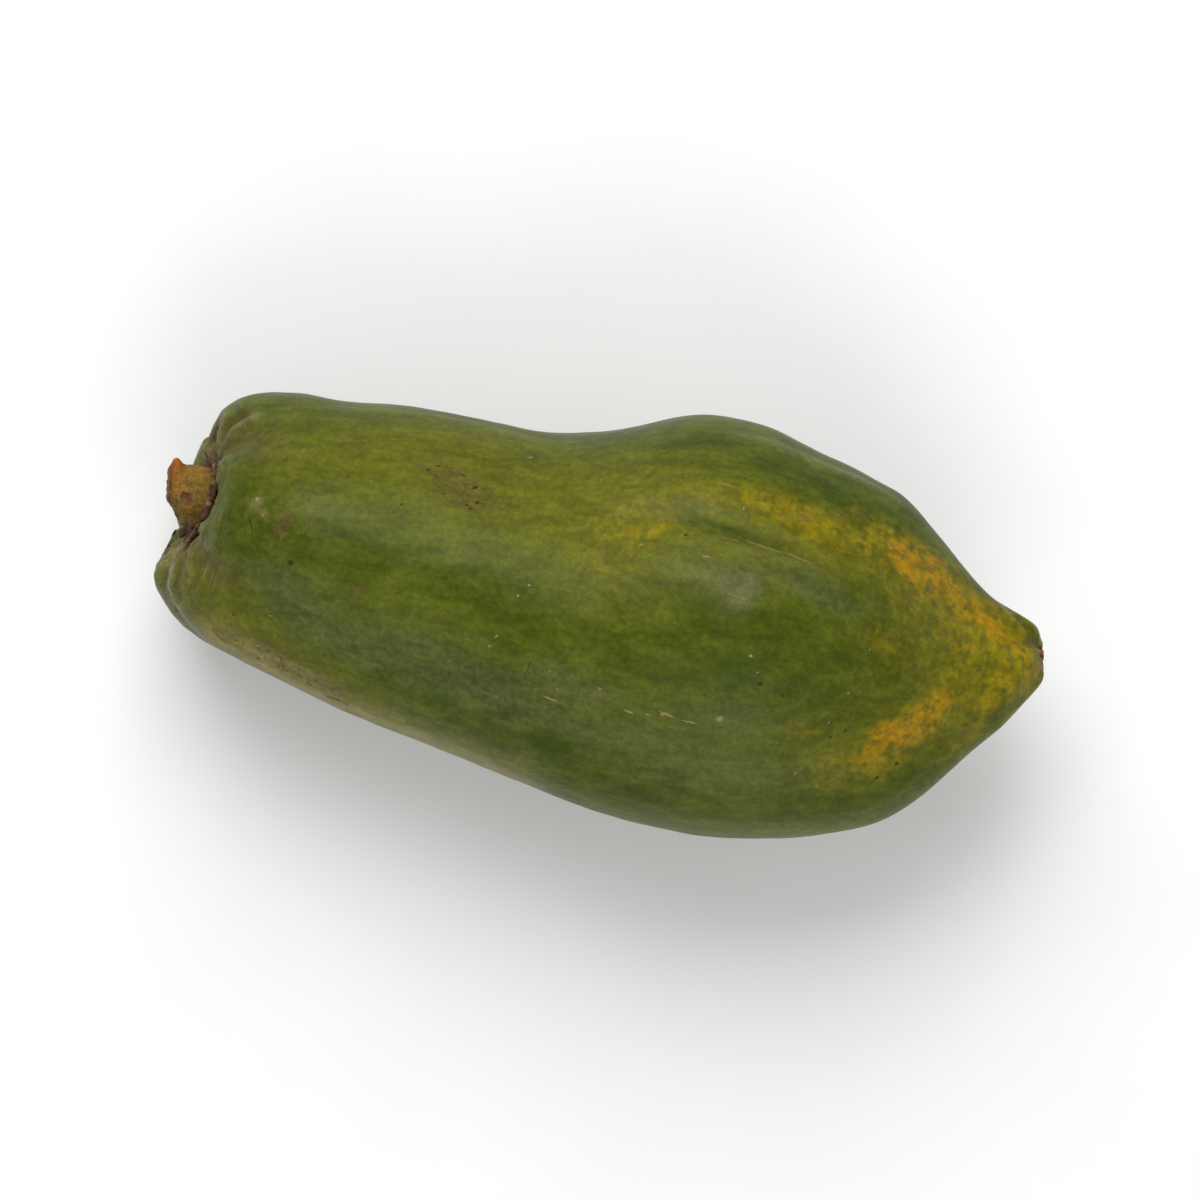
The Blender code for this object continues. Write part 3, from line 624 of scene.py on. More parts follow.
def stalk_surface(step, angle):
    """Points of the stalk's stub at steps from 0 to 1, from its foot up its knobbly side to its cut end."""
    share = np.clip((step - STALK_ENDS) / (1.0 - 2.0 * STALK_ENDS), 0.0, 1.0)
    radius = np.interp(share, *np.array(STALK_RADII).T)
    for one in STALK_KNOBS:
        radius += swelling(share, angle, *one)
    radius *= np.clip(step / STALK_ENDS, 0.0, 1.0) * np.clip((1.0 - step) / STALK_ENDS, 0.0, 1.0)
    turn = np.radians(angle)
    y, z = radius * np.cos(turn), radius * np.sin(turn)
    foot = STALK_FLOOR - GAP + STALK_LEAN[0] * y + STALK_LEAN[1] * z
    cut = CUT_END + CUT_SLANT[0] * y + CUT_SLANT[1] * z
    return np.stack([foot + share * (cut - foot), y + STALK_AXIS[0], z + STALK_AXIS[1]], axis=-1)


def calyx_surface(angle, around):
    """Points of the withered calyx, a thin ring round the stalk's foot with a lobe up each groove."""
    place, span, _ = lobe_place(angle, np.full_like(angle, STALK_FLOOR))
    lobe = np.exp(-(((place - 0.5) * span / CALYX_LOBE[1]) ** 2))
    outward = 0.5 - 0.5 * np.cos(around)
    radius = CALYX_RADIUS + outward * (CALYX_WIDTH + CALYX_LOBE[0] * lobe)
    half_width = (SECTIONS[0][1] + SECTIONS[0][2]) / 2.0
    rising = np.array(STALK_END[:HOLLOW_STEPS])[:, 1]
    point = fruit_surface(np.interp(radius / half_width, rising, np.arange(HOLLOW_STEPS)), angle)
    lift = CALYX_CURL * outward**2 * (CALYX_CURL_BETWEEN + lobe)
    point[:, 0] -= GAP + lift + CALYX_THICKNESS * (0.5 + 0.5 * np.sin(around))
    return point


def scar_surface(step, angle):
    """Points of the flower scar at steps from 0 to 1, a small disc with a hollow face and five points."""
    radius = SCAR_RADIUS * np.sin(np.pi * step) ** SCAR_ROUNDING
    radius *= 1.0 + SCAR_POINT_SIZE * np.cos(np.radians(SCAR_POINTS * angle))
    face = smooth_step(*SCAR_EDGE, step)
    dip = SCAR_DIP * smooth_step(*SCAR_DIP_WALL, radius / SCAR_RADIUS)
    x = FLOWER_FLOOR + GAP + face * (SCAR_HEIGHT - dip)
    turn = np.radians(angle)
    y, z = radius * np.cos(turn), radius * np.sin(turn)
    x += FLOWER_LEAN[0] * y + FLOWER_LEAN[1] * z
    return np.stack([x, y + FLOWER_AXIS[0], z + FLOWER_AXIS[1]], axis=-1)


def skin_pieces():
    """Steps of the meridian close together, and how long the skin is between each and the next."""
    step = np.linspace(0.0, LAST_STEP, STEP_PIECES * LAST_STEP + 1)
    along, share = (steady_curve(column, step) for column in meridian().T)
    return step, np.hypot(np.diff(along), HALF_WIDTH * np.diff(share))


def ring_steps(rings):
    """Steps of the meridian for rings that lie evenly along the skin and a little closer at its ends."""
    step, length = skin_pieces()
    reached = np.concatenate([[0.0], np.cumsum(length + RINGS_BY_STEP * length.mean())])
    return np.interp(np.linspace(0.0, reached[-1], rings + 1), reached, step)


def skin_length(step):
    """How far a step of the meridian lies from the stalk's pole along the skin."""
    fine, length = skin_pieces()
    return np.interp(step, fine, np.concatenate([[0.0], np.cumsum(length)]))


def lumps(points, size, seed):
    """Smooth noise from about -1 to 1 at each point, in lumps of the given size: slopes drawn at the corners
    of a grid and blended between them."""
    slopes = np.random.default_rng(seed).normal(size=(NOISE_SLOPES, 3))
    slopes /= np.linalg.norm(slopes, axis=1)[:, None]
    place = points / size
    corner = np.floor(place).astype(int)
    inside = place - corner
    blend = inside**3 * (inside * (inside * 6.0 - 15.0) + 10.0)
    total = np.zeros(len(points))
    for offset in np.ndindex(2, 2, 2):
        mixed = (corner + offset) @ NOISE_STRIDES % NOISE_SLOPES
        weight = np.prod(np.where(offset, blend, 1.0 - blend), axis=1)
        total += weight * np.einsum("ij,ij->i", slopes[mixed], inside - offset)
    return NOISE_HEIGHT * total


def read_vectors(mesh, name):
    """Each point's place, by the name co, or its normal."""
    vectors = np.empty(len(mesh.vertices) * 3)
    mesh.vertices.foreach_get(name, vectors)
    return vectors.reshape(-1, 3)


def write_points(mesh, points):
    mesh.vertices.foreach_set("co", np.ascontiguousarray(points, float).ravel())
    mesh.update()


def write_field(mesh, name, values):
    """Writes a number, or three, for each point."""
    kind, key = ("FLOAT", "value") if values.ndim == 1 else ("FLOAT_VECTOR", "vector")
    field = mesh.attributes.new(name, kind, "POINT")
    field.data.foreach_set(key, np.ascontiguousarray(values, np.float32).ravel())


def around_axis(angle):
    """Places round a circle of radius 1, in which noise closes up with itself."""
    turn = np.radians(angle)
    return np.stack([np.cos(turn), np.sin(turn)], axis=-1)


def ball_mesh(name, sides, rings):
    """A closed mesh of rings between two poles, with each point's step, from 0 to 1, and its angle."""
    ring, side = (grid.ravel() for grid in np.meshgrid(np.arange(1, rings), np.arange(sides), indexing="ij"))
    step = np.concatenate([[0.0], ring / rings, [1.0]])
    angle = np.concatenate([[0.0], side * 360.0 / sides, [0.0]])

    def number(ring, side):
        return 1 + (ring - 1) * sides + side % sides

    band = ring < rings - 1
    ring, side = ring[band], side[band]
    corners = ((ring, side), (ring, side + 1), (ring + 1, side + 1), (ring + 1, side))
    quads = np.stack([number(*corner) for corner in corners], -1)
    around, last = np.arange(sides), rings - 1
    foot = np.stack([np.zeros(sides, int), number(1, around + 1), number(1, around)], -1)
    head = np.stack([np.full(sides, len(step) - 1), number(last, around), number(last, around + 1)], -1)
    mesh = bpy.data.meshes.new(name)
    mesh.from_pydata(np.zeros((len(step), 3)), [], foot.tolist() + quads.tolist() + head.tolist())
    return mesh, step, angle


def place_points(mesh, points):
    """Puts the points in the mesh with its faces outwards, and returns the normals."""
    write_points(mesh, points)
    shape = bmesh.new()
    shape.from_mesh(mesh)
    if shape.calc_volume(signed=True) < 0:
        bmesh.ops.reverse_faces(shape, faces=shape.faces)
        shape.to_mesh(mesh)
        mesh.update()
    shape.free()
    return read_vectors(mesh, "normal")


def photo_pixels(points):
    """The pixels of the photograph at which the camera sees points."""
    turn = np.radians(SLOPE)
    right, up = np.array([np.cos(turn), np.sin(turn)]), np.array([-np.sin(turn), np.cos(turn)])
    away = points[:, :2] - frame_middle()
    nearer = CAMERA_DISTANCE / (CAMERA_DISTANCE - (points[:, 2] - OUTLINE_HEIGHT)) / PIXEL
    half = FRAME_PIXELS / 2.0
    return np.stack([half + away @ right * nearer, half - away @ up * nearer], axis=-1)


def frame_middle():
    """The middle of the photograph's frame."""
    turn = np.radians(SLOPE)
    right, down = np.array([np.cos(turn), np.sin(turn)]), np.array([np.sin(turn), -np.cos(turn)])
    half = FRAME_PIXELS / 2.0
    return ((half - STALK_PIXEL[0]) * right + (half - STALK_PIXEL[1]) * down) * PIXEL


def seen_place(skin, pixel, turn):
    """The skin's point that the camera sees at a pixel, and three directions there: along a mark that turns
    from the fruit's length, across it, and out of the skin."""
    pixels, points, normals = skin
    away = np.hypot(pixels[:, 0] - pixel[0], pixels[:, 1] - pixel[1])
    away = np.where(normals[:, 2] > FACES_CAMERA, away, np.inf)
    close = away < max(SEEN_PIXELS, away.min() + 1.0)
    uppermost = points[:, 2] > points[close, 2].max() - HIDDEN_BELOW
    nearest = np.argmin(np.where(close & uppermost, away, np.inf))
    normal = normals[nearest]
    along = np.array([np.cos(np.radians(turn)), np.sin(np.radians(turn)), 0.0])
    along -= normal * (along @ normal)
    along /= np.linalg.norm(along)
    return points[nearest], np.stack([along, np.cross(normal, along), normal])


def patches_field(patches, skin):
    """The patches together, from 0 to 1, at every point."""
    points = skin[1]
    bare = np.ones(len(points))
    for x, y, half_length, half_width, turn, strength in patches:
        place, axes = seen_place(skin, (x, y), turn)
        depth = PATCH_DEPTH * max(half_length, half_width)
        spread = ((points - place) @ axes.T / (half_length, half_width, depth)) ** 2
        bare *= 1.0 - strength * np.exp(-spread.sum(axis=1))
    return 1.0 - bare


def write_marks(mesh, kind, marks, skin):
    """Writes each point's place in the measure of the mark beside it, in as many fields as keep the marks
    apart, and returns how many there are."""
    points = skin[1]
    layers = []
    for x, y, half_length, half_width, turn in marks:
        place, axes = seen_place(skin, (x, y), turn)
        away = points - place
        distance = np.linalg.norm(away, axis=1)
        reach = MARK_REACH * max(half_length, half_width) + MARK_MARGIN
        near = distance < reach
        free = [layer for layer in layers if not layer[1][near].any()]
        if not free:
            measure = np.tile((0.0, 0.0, FAR_FROM_MARKS), (len(points), 1))
            free = [(measure, np.zeros(len(points), bool))]
            layers += free
        measure, taken = free[0]
        taken |= distance < reach + MARK_MARGIN
        measure[near] = away[near] @ axes.T / (half_length, half_width, 1.0)
    for number, (measure, _) in enumerate(layers):
        write_field(mesh, f"{kind}{number}", measure)
    return len(layers)


def line_field(along, angle, points, half_width):
    """A thin line through points of the skin, from 0 to 1, fading at its ends."""
    places, turns = np.array(points, float).T
    away = turned_away(angle, np.interp(along, places, turns))
    fade = min(LINE_FADE, (places[-1] - places[0]) / 3.0)
    ends = smooth_step(places[0] - LINE_PAST, places[0] + fade, along)
    ends *= smooth_step(places[-1] + LINE_PAST, places[-1] - fade, along)
    return np.exp(-((away / half_width) ** 2)) * ends


def fold_field(pixels, half_width, places):
    """A bent fold through pixels, from 0 to 1, fading at its ends."""
    places = np.array(places, float)
    nearest, reached = np.full(len(pixels), np.inf), np.zeros(len(pixels))
    run = 0.0
    for start, stop in zip(places, places[1:]):
        length = np.linalg.norm(stop - start)
        share = np.clip((pixels - start) @ (stop - start) / length**2, 0.0, 1.0)
        away = np.linalg.norm(pixels - start - share[:, None] * (stop - start), axis=1)
        reached = np.where(away < nearest, run + share * length, reached)
        nearest = np.minimum(nearest, away)
        run += length
    ends = smooth_step(-1.0, FOLD_ENDS, reached) * smooth_step(run + 1.0, run - FOLD_ENDS, reached)
    return np.exp(-((nearest / half_width) ** 2)) * ends


def unevenness(points, sizes, seed):
    """Noise of several sizes together, from the size and height of each."""
    return sum(height * lumps(points, size, seed + number) for number, (size, height) in enumerate(sizes))


def ridge_relief(along, angle):
    """The fine ridges along the skin: their height and how pale they are."""
    height, pale = np.zeros(len(along)), np.zeros(len(along))
    for points, half_width, rise, paleness in SKIN_LINES:
        line = line_field(along, angle, points, half_width)
        height += rise * line
        pale = np.maximum(pale, paleness * line)
    return height, pale


def rim_relief(step, along, share, angle):
    """Folds down the wall of the stalk's hollow and wrinkles on its rim: their height, where the rim is
    wrinkled, and how pale the folds are."""
    around = around_axis(angle)
    at_stalk = smooth_step(*STALK_SKIN, step / LAST_STEP)
    in_hollow = at_stalk * smooth_step(*HOLLOW_TOP, share) * smooth_step(*HOLLOW_FOOT, share)
    folds = np.zeros(len(step))
    for seed, (round_it, up_it, strength) in enumerate(HOLLOW_FOLDS, start=2):
        folds += strength * lumps(np.column_stack([around * round_it, share * up_it]), 1.0, seed)
    wrinkles = lumps(np.column_stack([around * WRINKLES_ROUND, skin_length(step) / WRINKLE_SIZE]), 1.0, 4)
    front = smooth_step(*RIM_FRONT, np.cos(np.radians(angle - RIM_BACK)))
    reach = RIM_REACH[0] + RIM_REACH[1] * front
    wrinkled = at_stalk * smooth_step(*RIM_INSIDE, share) * smooth_step(reach, 1.0, along)
    wrinkled *= RIM_AT_BACK + (1.0 - RIM_AT_BACK) * front
    height = WRINKLE_HEIGHT * (folds * in_hollow + wrinkles * wrinkled)
    return height, wrinkled, HOLLOW_PALENESS * smooth_step(*HOLLOW_PALE, folds) * in_hollow


def fold_relief(points, normals):
    """The bent folds the camera sees: height, and painted shade where they sink and highlight where they
    rise.
    """
    facing_up = smooth_step(*FOLD_FACES_UP, normals[:, 2])
    pixels = photo_pixels(points)
    height, dark, pale = np.zeros((3, len(points)))
    for half_width, rise, *places in FOLDS:
        fold = fold_field(pixels, half_width, places) * facing_up
        height += rise * fold
        # painted shade in sunken folds and painted highlight on raised ones
        dark = np.maximum(dark, fold * np.clip(-rise / FOLD_DEPTH, 0.0, 1.0))
        pale = np.maximum(pale, fold * np.clip(rise / FOLD_DEPTH, 0.0, FOLD_HIGHLIGHT_MOST))
    return height, dark, pale


def hidden_colour(smooth, along, angle, place):
    """The yellow and orange of the flower end where no patch gives them: on the ridges and underneath."""
    at_tip = smooth_step(*TIP_RIPENS, along)
    yellow = TIP_YELLOW * at_tip * (0.6 + 0.4 * np.cos(2.0 * np.pi * place))
    under = smooth_step(*UNDERSIDE, np.sin(np.radians(angle)))
    blotches = smooth_step(*UNDER_BLOTCHES, lumps(smooth, UNDER_LUMP, 6))
    return yellow, UNDER_ORANGE * at_tip * under * blotches


def fruit_piece(shift):
    """The fruit, its skin's relief and its fields of colour."""
    mesh, ball_step, angle = ball_mesh("papaya_fruit", FRUIT_SIDES, FRUIT_RINGS)
    step = np.interp(ball_step * FRUIT_RINGS, np.arange(FRUIT_RINGS + 1), ring_steps(FRUIT_RINGS))
    smooth = fruit_surface(step, angle)
    normals = place_points(mesh, smooth)
    along, share = (steady_curve(column, step) for column in meridian().T)
    ridges, pale_ridges = ridge_relief(along, angle)
    rim, wrinkled, pale_rim = rim_relief(step, along, share, angle)
    # crease is painted shade in the sunken folds, and the highlights are painted on the raised ones
    folds, crease, fold_highlights = fold_relief(smooth, normals)
    height = unevenness(smooth, SKIN_LUMPS, 0) + ridges + rim + folds
    points = smooth + normals * height[:, None]
    write_points(mesh, points)
    skin = photo_pixels(points), points, read_vectors(mesh, "normal")

    place, span, number = lobe_place(angle, along)
    groove = np.exp(-(((place - 0.5) * span / GROOVE_WIDTH) ** 2))
    at_flower = (number != CLEAN_GROOVE) * smooth_step(*GROOVE_AT_FLOWER, along)
    groove *= np.maximum(smooth_step(*GROOVE_AT_STALK, along), at_flower)
    fields = {name: patches_field(patches, skin) for name, patches in PATCHES.items()}
    yellow, orange = hidden_colour(smooth, along, angle, place)
    fields["yellow"] = 1.0 - (1.0 - fields["yellow"]) * (1.0 - yellow)
    fields["orange"] += orange
    # Besides the skin's own pale lines and bands, the pale field holds painted sheen and painted highlights
    # on raised folds.
    fields["pale"] = np.max([fields["pale"], pale_ridges, pale_rim, fold_highlights], axis=0)
    # the crease field is painted shade in the sunken folds
    fields["crease"] = crease
    fields["hollow"] = smooth_step(*STALK_SKIN, step / LAST_STEP) * smooth_step(*HOLLOW_TAN, share)
    fields["groove"] = groove
    fields["rim"] = wrinkled
    for name, values in fields.items():
        write_field(mesh, name, np.clip(values, 0.0, 1.0))
    sweep = np.column_stack([around_axis(angle) * LINES_ROUND, skin_length(step) / LINE_SIZE])
    write_field(mesh, "sweep", sweep)
    layers = {kind: write_marks(mesh, kind, marks, skin) for kind, marks in MARKS.items()}
    write_points(mesh, (points + shift) * MM)
    cut_flat(mesh)
    return finished_object(mesh), layers, skin


def cut_flat(mesh):
    """Cuts the fruit to the flat spot that it lies on."""
    shape = bmesh.new()
    shape.from_mesh(mesh)
    everything = shape.verts[:] + shape.edges[:] + shape.faces[:]
    cut = bmesh.ops.bisect_plane(
        shape, geom=everything, dist=1e-7, plane_co=(0, 0, 0), plane_no=(0, 0, -1), clear_outer=True
    )
    bmesh.ops.edgeloop_fill(shape, edges=[e for e in cut["geom_cut"] if isinstance(e, bmesh.types.BMEdge)])
    shape.to_mesh(mesh)
    shape.free()
    mesh.update()


def finished_object(mesh):
    mesh.shade_smooth()
    mesh.set_sharp_from_angle(angle=np.radians(SHARP_ANGLE))
    made = bpy.data.objects.new(mesh.name, mesh)
    bpy.context.scene.collection.objects.link(made)
    return made


def branch_scar(share, angle, scar, ragged=0.0):
    """A round scar on the stalk: its inside and its rim, from 0 to 1, and its height."""
    middle, turn, half_width, rim_width, rise = scar
    away = np.hypot((share - middle) / BRANCH_LENGTH, turned_away(angle, turn) / half_width) + ragged
    rim = np.exp(-(((away - 1.0) / rim_width) ** 2))
    height = rise * rim - BRANCH_DEPTH * smooth_step(*BRANCH_FLOOR, away)
    return smooth_step(*BRANCH_INSIDE, away), rim, height


def stalk_piece(shift):
    """The stalk's stub: bark with two round scars, a knob, and a rough cut end."""
    mesh, step, angle = ball_mesh("papaya_stalk", STALK_SIDES, STALK_RINGS)
    smooth = stalk_surface(step, angle)
    normals = place_points(mesh, smooth)
    share = np.clip((step - STALK_ENDS) / (1.0 - 2.0 * STALK_ENDS), 0.0, 1.0)
    cut = smooth_step(*STALK_CUT, share)
    side = smooth_step(*STALK_FOOT, share) * smooth_step(*STALK_TOP, share)
    round_it, along_it, ridge = BARK_RIDGES
    ridges = lumps(np.column_stack([around_axis(angle) * round_it, share * along_it]), 1.0, 3)
    height = unevenness(smooth, BARK_LUMPS, 1) + ridge * ridges * side
    height += cut * unevenness(smooth, CUT_LUMPS, 4)
    height *= smooth_step(*BARK_STARTS, share)
    front, ring, front_height = branch_scar(share, angle, FRONT_SCAR, unevenness(smooth, RAGGED_LUMPS, 5))
    back, _, back_height = branch_scar(share, angle, BACK_SCAR)
    height += front_height + back_height
    fields = {
        "knob": swelling(share, angle, *KNOB_COLOUR),
        "scar": np.maximum(front, back),
        "ring": ring,
        "foot": smooth_step(*FOOT_COLOUR, share),
        "cut": cut,
        "edge": np.exp(-(((share - EDGE_COLOUR[0]) / EDGE_COLOUR[1]) ** 2)),
    }
    for name, values in fields.items():
        write_field(mesh, name, values)
    write_points(mesh, (smooth + normals * height[:, None] + shift) * MM)
    return finished_object(mesh)


def calyx_piece(shift):
    """The withered calyx: a ragged brown ring round the stalk's foot."""
    bpy.ops.mesh.primitive_torus_add(
        major_radius=TORUS_RADIUS, minor_radius=1.0, major_segments=CALYX_SIDES, minor_segments=CALYX_ROUND
    )
    ring = bpy.context.object
    mesh = ring.data
    mesh.name = "papaya_calyx"
    x, y, z = read_vectors(mesh, "co").T
    bpy.data.objects.remove(ring)
    angle = np.degrees(np.arctan2(y, x))
    around = np.arctan2(z, TORUS_RADIUS - np.hypot(x, y))
    smooth = calyx_surface(angle, around)
    normals = place_points(mesh, smooth)
    upper = smooth_step(*CALYX_TOP, np.sin(around))
    height = unevenness(smooth, CALYX_LUMPS, 1)
    write_field(mesh, "crisp", np.clip(CALYX_CRISPNESS + height, 0.0, 1.0))
    write_points(mesh, (smooth + normals * (np.abs(height) * upper)[:, None] + shift) * MM)
    return finished_object(mesh)


def scraps_piece(shift, skin):
    """Crumpled scraps of the calyx, each half sunk in the skin that the camera sees at its pixel."""
    whole = bmesh.new()
    for seed, (x, y, half_length, half_width, turn) in enumerate(SCRAPS, start=SCRAP_SEED):
        place, axes = seen_place(skin, (x, y), turn)
        mesh, step, angle = ball_mesh("scrap", SCRAP_SIDES, SCRAP_RINGS)
        upright = np.pi * step[:, None]
        ball = np.column_stack([np.sin(upright) * around_axis(angle), np.cos(upright)])
        ball *= (1.0 + SCRAP_CRUMPLE * lumps(ball * SCRAP_LUMPS, 1.0, seed))[:, None]
        ball = ball * (half_length, half_width, SCRAP_THICKNESS * half_width)
        place_points(mesh, (place + ball @ axes + shift) * MM)
        whole.from_mesh(mesh)
        bpy.data.meshes.remove(mesh)
    mesh = bpy.data.meshes.new("papaya_calyx_scraps")
    whole.to_mesh(mesh)
    whole.free()
    write_field(mesh, "crisp", np.full(len(mesh.vertices), SCRAP_CRISPNESS))
    return finished_object(mesh)


def scar_piece(shift):
    """The flower scar: a small raised ring with a dark middle."""
    mesh, step, angle = ball_mesh("papaya_flower_scar", SCAR_SIDES, SCAR_RINGS)
    smooth = scar_surface(step, angle)
    normals = place_points(mesh, smooth)
    height = unevenness(smooth, SCAR_LUMPS, 1) * smooth_step(*SCAR_FACE, step)
    rise, upwards = DARK_MIDDLE[0] * SCAR_HEIGHT, DARK_MIDDLE[1] * SCAR_RADIUS
    middle = (FLOWER_FLOOR + GAP + rise, FLOWER_AXIS[0], FLOWER_AXIS[1] + upwards)
    away = np.linalg.norm(smooth - middle, axis=1)
    write_field(mesh, "middle", smooth_step(*DARK_EDGE, away / SCAR_RADIUS))
    write_points(mesh, (smooth + normals * height[:, None] + shift) * MM)
    return finished_object(mesh)


class Finish:
    """A material's nodes, with a short method for each kind that it uses. Sizes are in millimetres."""

    def __init__(self, name, roughness, specular):
        self.material = bpy.data.materials.new(name)
        self.material.use_nodes = True
        self.tree = self.material.node_tree
        self.shader = self.tree.nodes["Principled BSDF"]
        self.shader.inputs["Specular IOR Level"].default_value = specular
        self.shader.inputs["Roughness"].default_value = roughness
        self.place = self.add("ShaderNodeTexCoord").outputs["Object"]

    def add(self, kind, **settings):
        node = self.tree.nodes.new(kind)
        for name, value in settings.items():
            setattr(node, name, value)
        return node

    def feed(self, socket, value):
        """Gives a socket another node's output, a field by its name, a colour or a number."""
        if isinstance(value, str):
            value = self.add("ShaderNodeAttribute", attribute_name=value).outputs["Fac"]
        if isinstance(value, bpy.types.NodeSocket):
            self.tree.links.new(value, socket)
        elif isinstance(value, tuple) and len(value) == 3 and socket.type == "RGBA":
            socket.default_value = (*value, 1.0)
        else:
            socket.default_value = value

    def math(self, operation, *values):
        node = self.add("ShaderNodeMath", operation=operation)
        for socket, value in zip(node.inputs, values):
            self.feed(socket, value)
        return node.outputs["Value"]

    def times(self, first, second):
        return self.math("MULTIPLY", first, second)

    def plus(self, first, second):
        return self.math("ADD", first, second)

    def step(self, value, low, high, bottom=0.0, top=1.0):
        node = self.add("ShaderNodeMapRange", interpolation_type="SMOOTHSTEP")
        given = {"Value": value, "From Min": low, "From Max": high, "To Min": bottom, "To Max": top}
        for name, number in given.items():
            self.feed(node.inputs[name], number)
        return node.outputs["Result"]

    def stretched(self, stretch):
        node = self.add("ShaderNodeMapping")
        self.feed(node.inputs["Vector"], self.place)
        node.inputs["Scale"].default_value = stretch
        return node.outputs["Vector"]

    def noise(self, size, detail=2.0, rough=0.5, stretch=None, warp=0.0, place=None):
        node = self.add("ShaderNodeTexNoise")
        self.feed(node.inputs["Vector"], place or (self.stretched(stretch) if stretch else self.place))
        node.inputs["Scale"].default_value = 1.0 / (size * MM)
        node.inputs["Detail"].default_value = detail
        node.inputs["Roughness"].default_value = rough
        node.inputs["Distortion"].default_value = warp
        return node.outputs["Fac"]

    def dots(self, size, radius, share):
        """Round dots of about the given radius, in a share of the cells of the given size."""
        node = self.add("ShaderNodeTexVoronoi")
        self.feed(node.inputs["Vector"], self.place)
        node.inputs["Scale"].default_value = 1.0 / (size * MM)
        near = self.step(node.outputs["Distance"], radius / size, DOT_EDGE * radius / size)
        chance = self.add("ShaderNodeSeparateColor")
        self.feed(chance.inputs["Color"], node.outputs["Color"])
        return self.times(near, self.math("LESS_THAN", chance.outputs["Red"], share))

    def mix(self, share, first, second, kind="MIX"):
        node = self.add("ShaderNodeMix", data_type="RGBA", blend_type=kind)
        self.feed(node.inputs["Factor"], share)
        colours = [socket for socket in node.inputs if socket.type == "RGBA"]
        self.feed(colours[0], first)
        self.feed(colours[1], second)
        return next(socket for socket in node.outputs if socket.type == "RGBA")

    def over(self, colour, share, strength, new):
        """The colour with a new one over it, by a share and a strength that are multiplied."""
        return self.mix(self.times(share, strength), colour, new)

    def shaded(self, colour, shade):
        """The colour made brighter or darker by a factor."""
        tint = self.add("ShaderNodeCombineColor")
        for channel in ("Red", "Green", "Blue"):
            self.feed(tint.inputs[channel], shade)
        return self.mix(1.0, colour, tint.outputs["Color"], kind="MULTIPLY")

    def marks(self, kind, layers, uneven):
        """The marks of a kind, from 0 to 1, with edges that follow noise."""
        found = None
        for number in range(layers):
            node = self.add("ShaderNodeAttribute", attribute_name=f"{kind}{number}")
            away = self.add("ShaderNodeVectorMath", operation="LENGTH")
            self.feed(away.inputs[0], node.outputs["Vector"])
            one = self.step(self.plus(away.outputs["Value"], uneven), *MARK_EDGE)
            found = one if found is None else self.math("MAXIMUM", found, one)
        return found

    def bump(self, height, depth, before=None):
        node = self.add("ShaderNodeBump")
        node.inputs["Distance"].default_value = depth * MM
        self.feed(node.inputs["Height"], height)
        if before is not None:
            self.feed(node.inputs["Normal"], before)
        return node.outputs["Normal"]

    def dress(self, piece, colour, normal=None, roughness=None):
        given = {"Base Color": colour, "Normal": normal, "Roughness": roughness}
        for name, value in given.items():
            if value is not None:
                self.feed(self.shader.inputs[name], value)
        piece.data.materials.clear()
        piece.data.materials.append(self.material)


def ripening_green(finish, blotch, mottle, soft):
    """Mottled green with olive areas and deep green ones, partly painted shade, ripening to yellow and
    orange.
    """
    broad = finish.noise(34.0, detail=2.0, stretch=(0.6, 1.0, 1.0))
    colour = finish.mix(finish.step(broad, 0.35, 0.65), DEEP_GREEN_AND_SHADE, GREEN)
    colour = finish.mix(finish.step(blotch, 0.35, 0.72, top=0.55), colour, PALE_GREEN)
    colour = finish.over(colour, "olive", finish.step(blotch, 0.15, 0.65, bottom=0.55), OLIVE)
    # deep green patches, partly painted shade
    colour = finish.over(colour, "deep_and_shade", finish.step(blotch, 0.75, 0.3, bottom=0.45), DEEP_GREEN_AND_SHADE)
    swing = finish.math("MULTIPLY_ADD", mottle, 0.15, soft)
    swing = finish.step(swing, 0.38, 0.78, bottom=0.55, top=1.50)
    ripening = finish.times("yellow", swing)
    colour = finish.mix(finish.step(ripening, 0.05, 1.0, top=0.9), colour, YELLOW)
    ripe = finish.times("orange", swing)
    return finish.mix(finish.step(ripe, 0.10, 0.85, top=0.95), colour, ORANGE)


def stained(finish, colour, blotch, mottle):
    """The colour with a tan hollow round the stalk, brown grooves and brown stains."""
    hollow = finish.times("hollow", finish.step(blotch, 0.2, 0.6, bottom=0.4))
    colour = finish.over(colour, hollow, 0.8, RIM_TAN)
    groove = finish.times("groove", finish.step(mottle, 0.3, 0.6, bottom=0.3))
    colour = finish.over(colour, groove, 0.7, STAIN_BROWN)
    stain = finish.times("stain", finish.step(mottle, 0.25, 0.75, bottom=0.2, top=1.8))
    return finish.over(colour, finish.step(stain, 0.10, 0.85), 0.75, STAIN_BROWN)


def skin_shade(finish, mottle, grain):
    """How bright the skin is from place to place: dappled, finely grained, and streaked along the fruit."""
    streaky = finish.noise(4.2, detail=3.0, rough=0.6, stretch=(0.26, 1.0, 1.0), warp=0.3)
    dapple = finish.step(mottle, 0.25, 0.75, bottom=0.84, top=1.16)
    fine = finish.step(grain, 0.25, 0.75, bottom=0.88, top=1.12)
    return finish.times(finish.times(dapple, fine), finish.step(streaky, 0.3, 0.7, bottom=0.82, top=1.16))


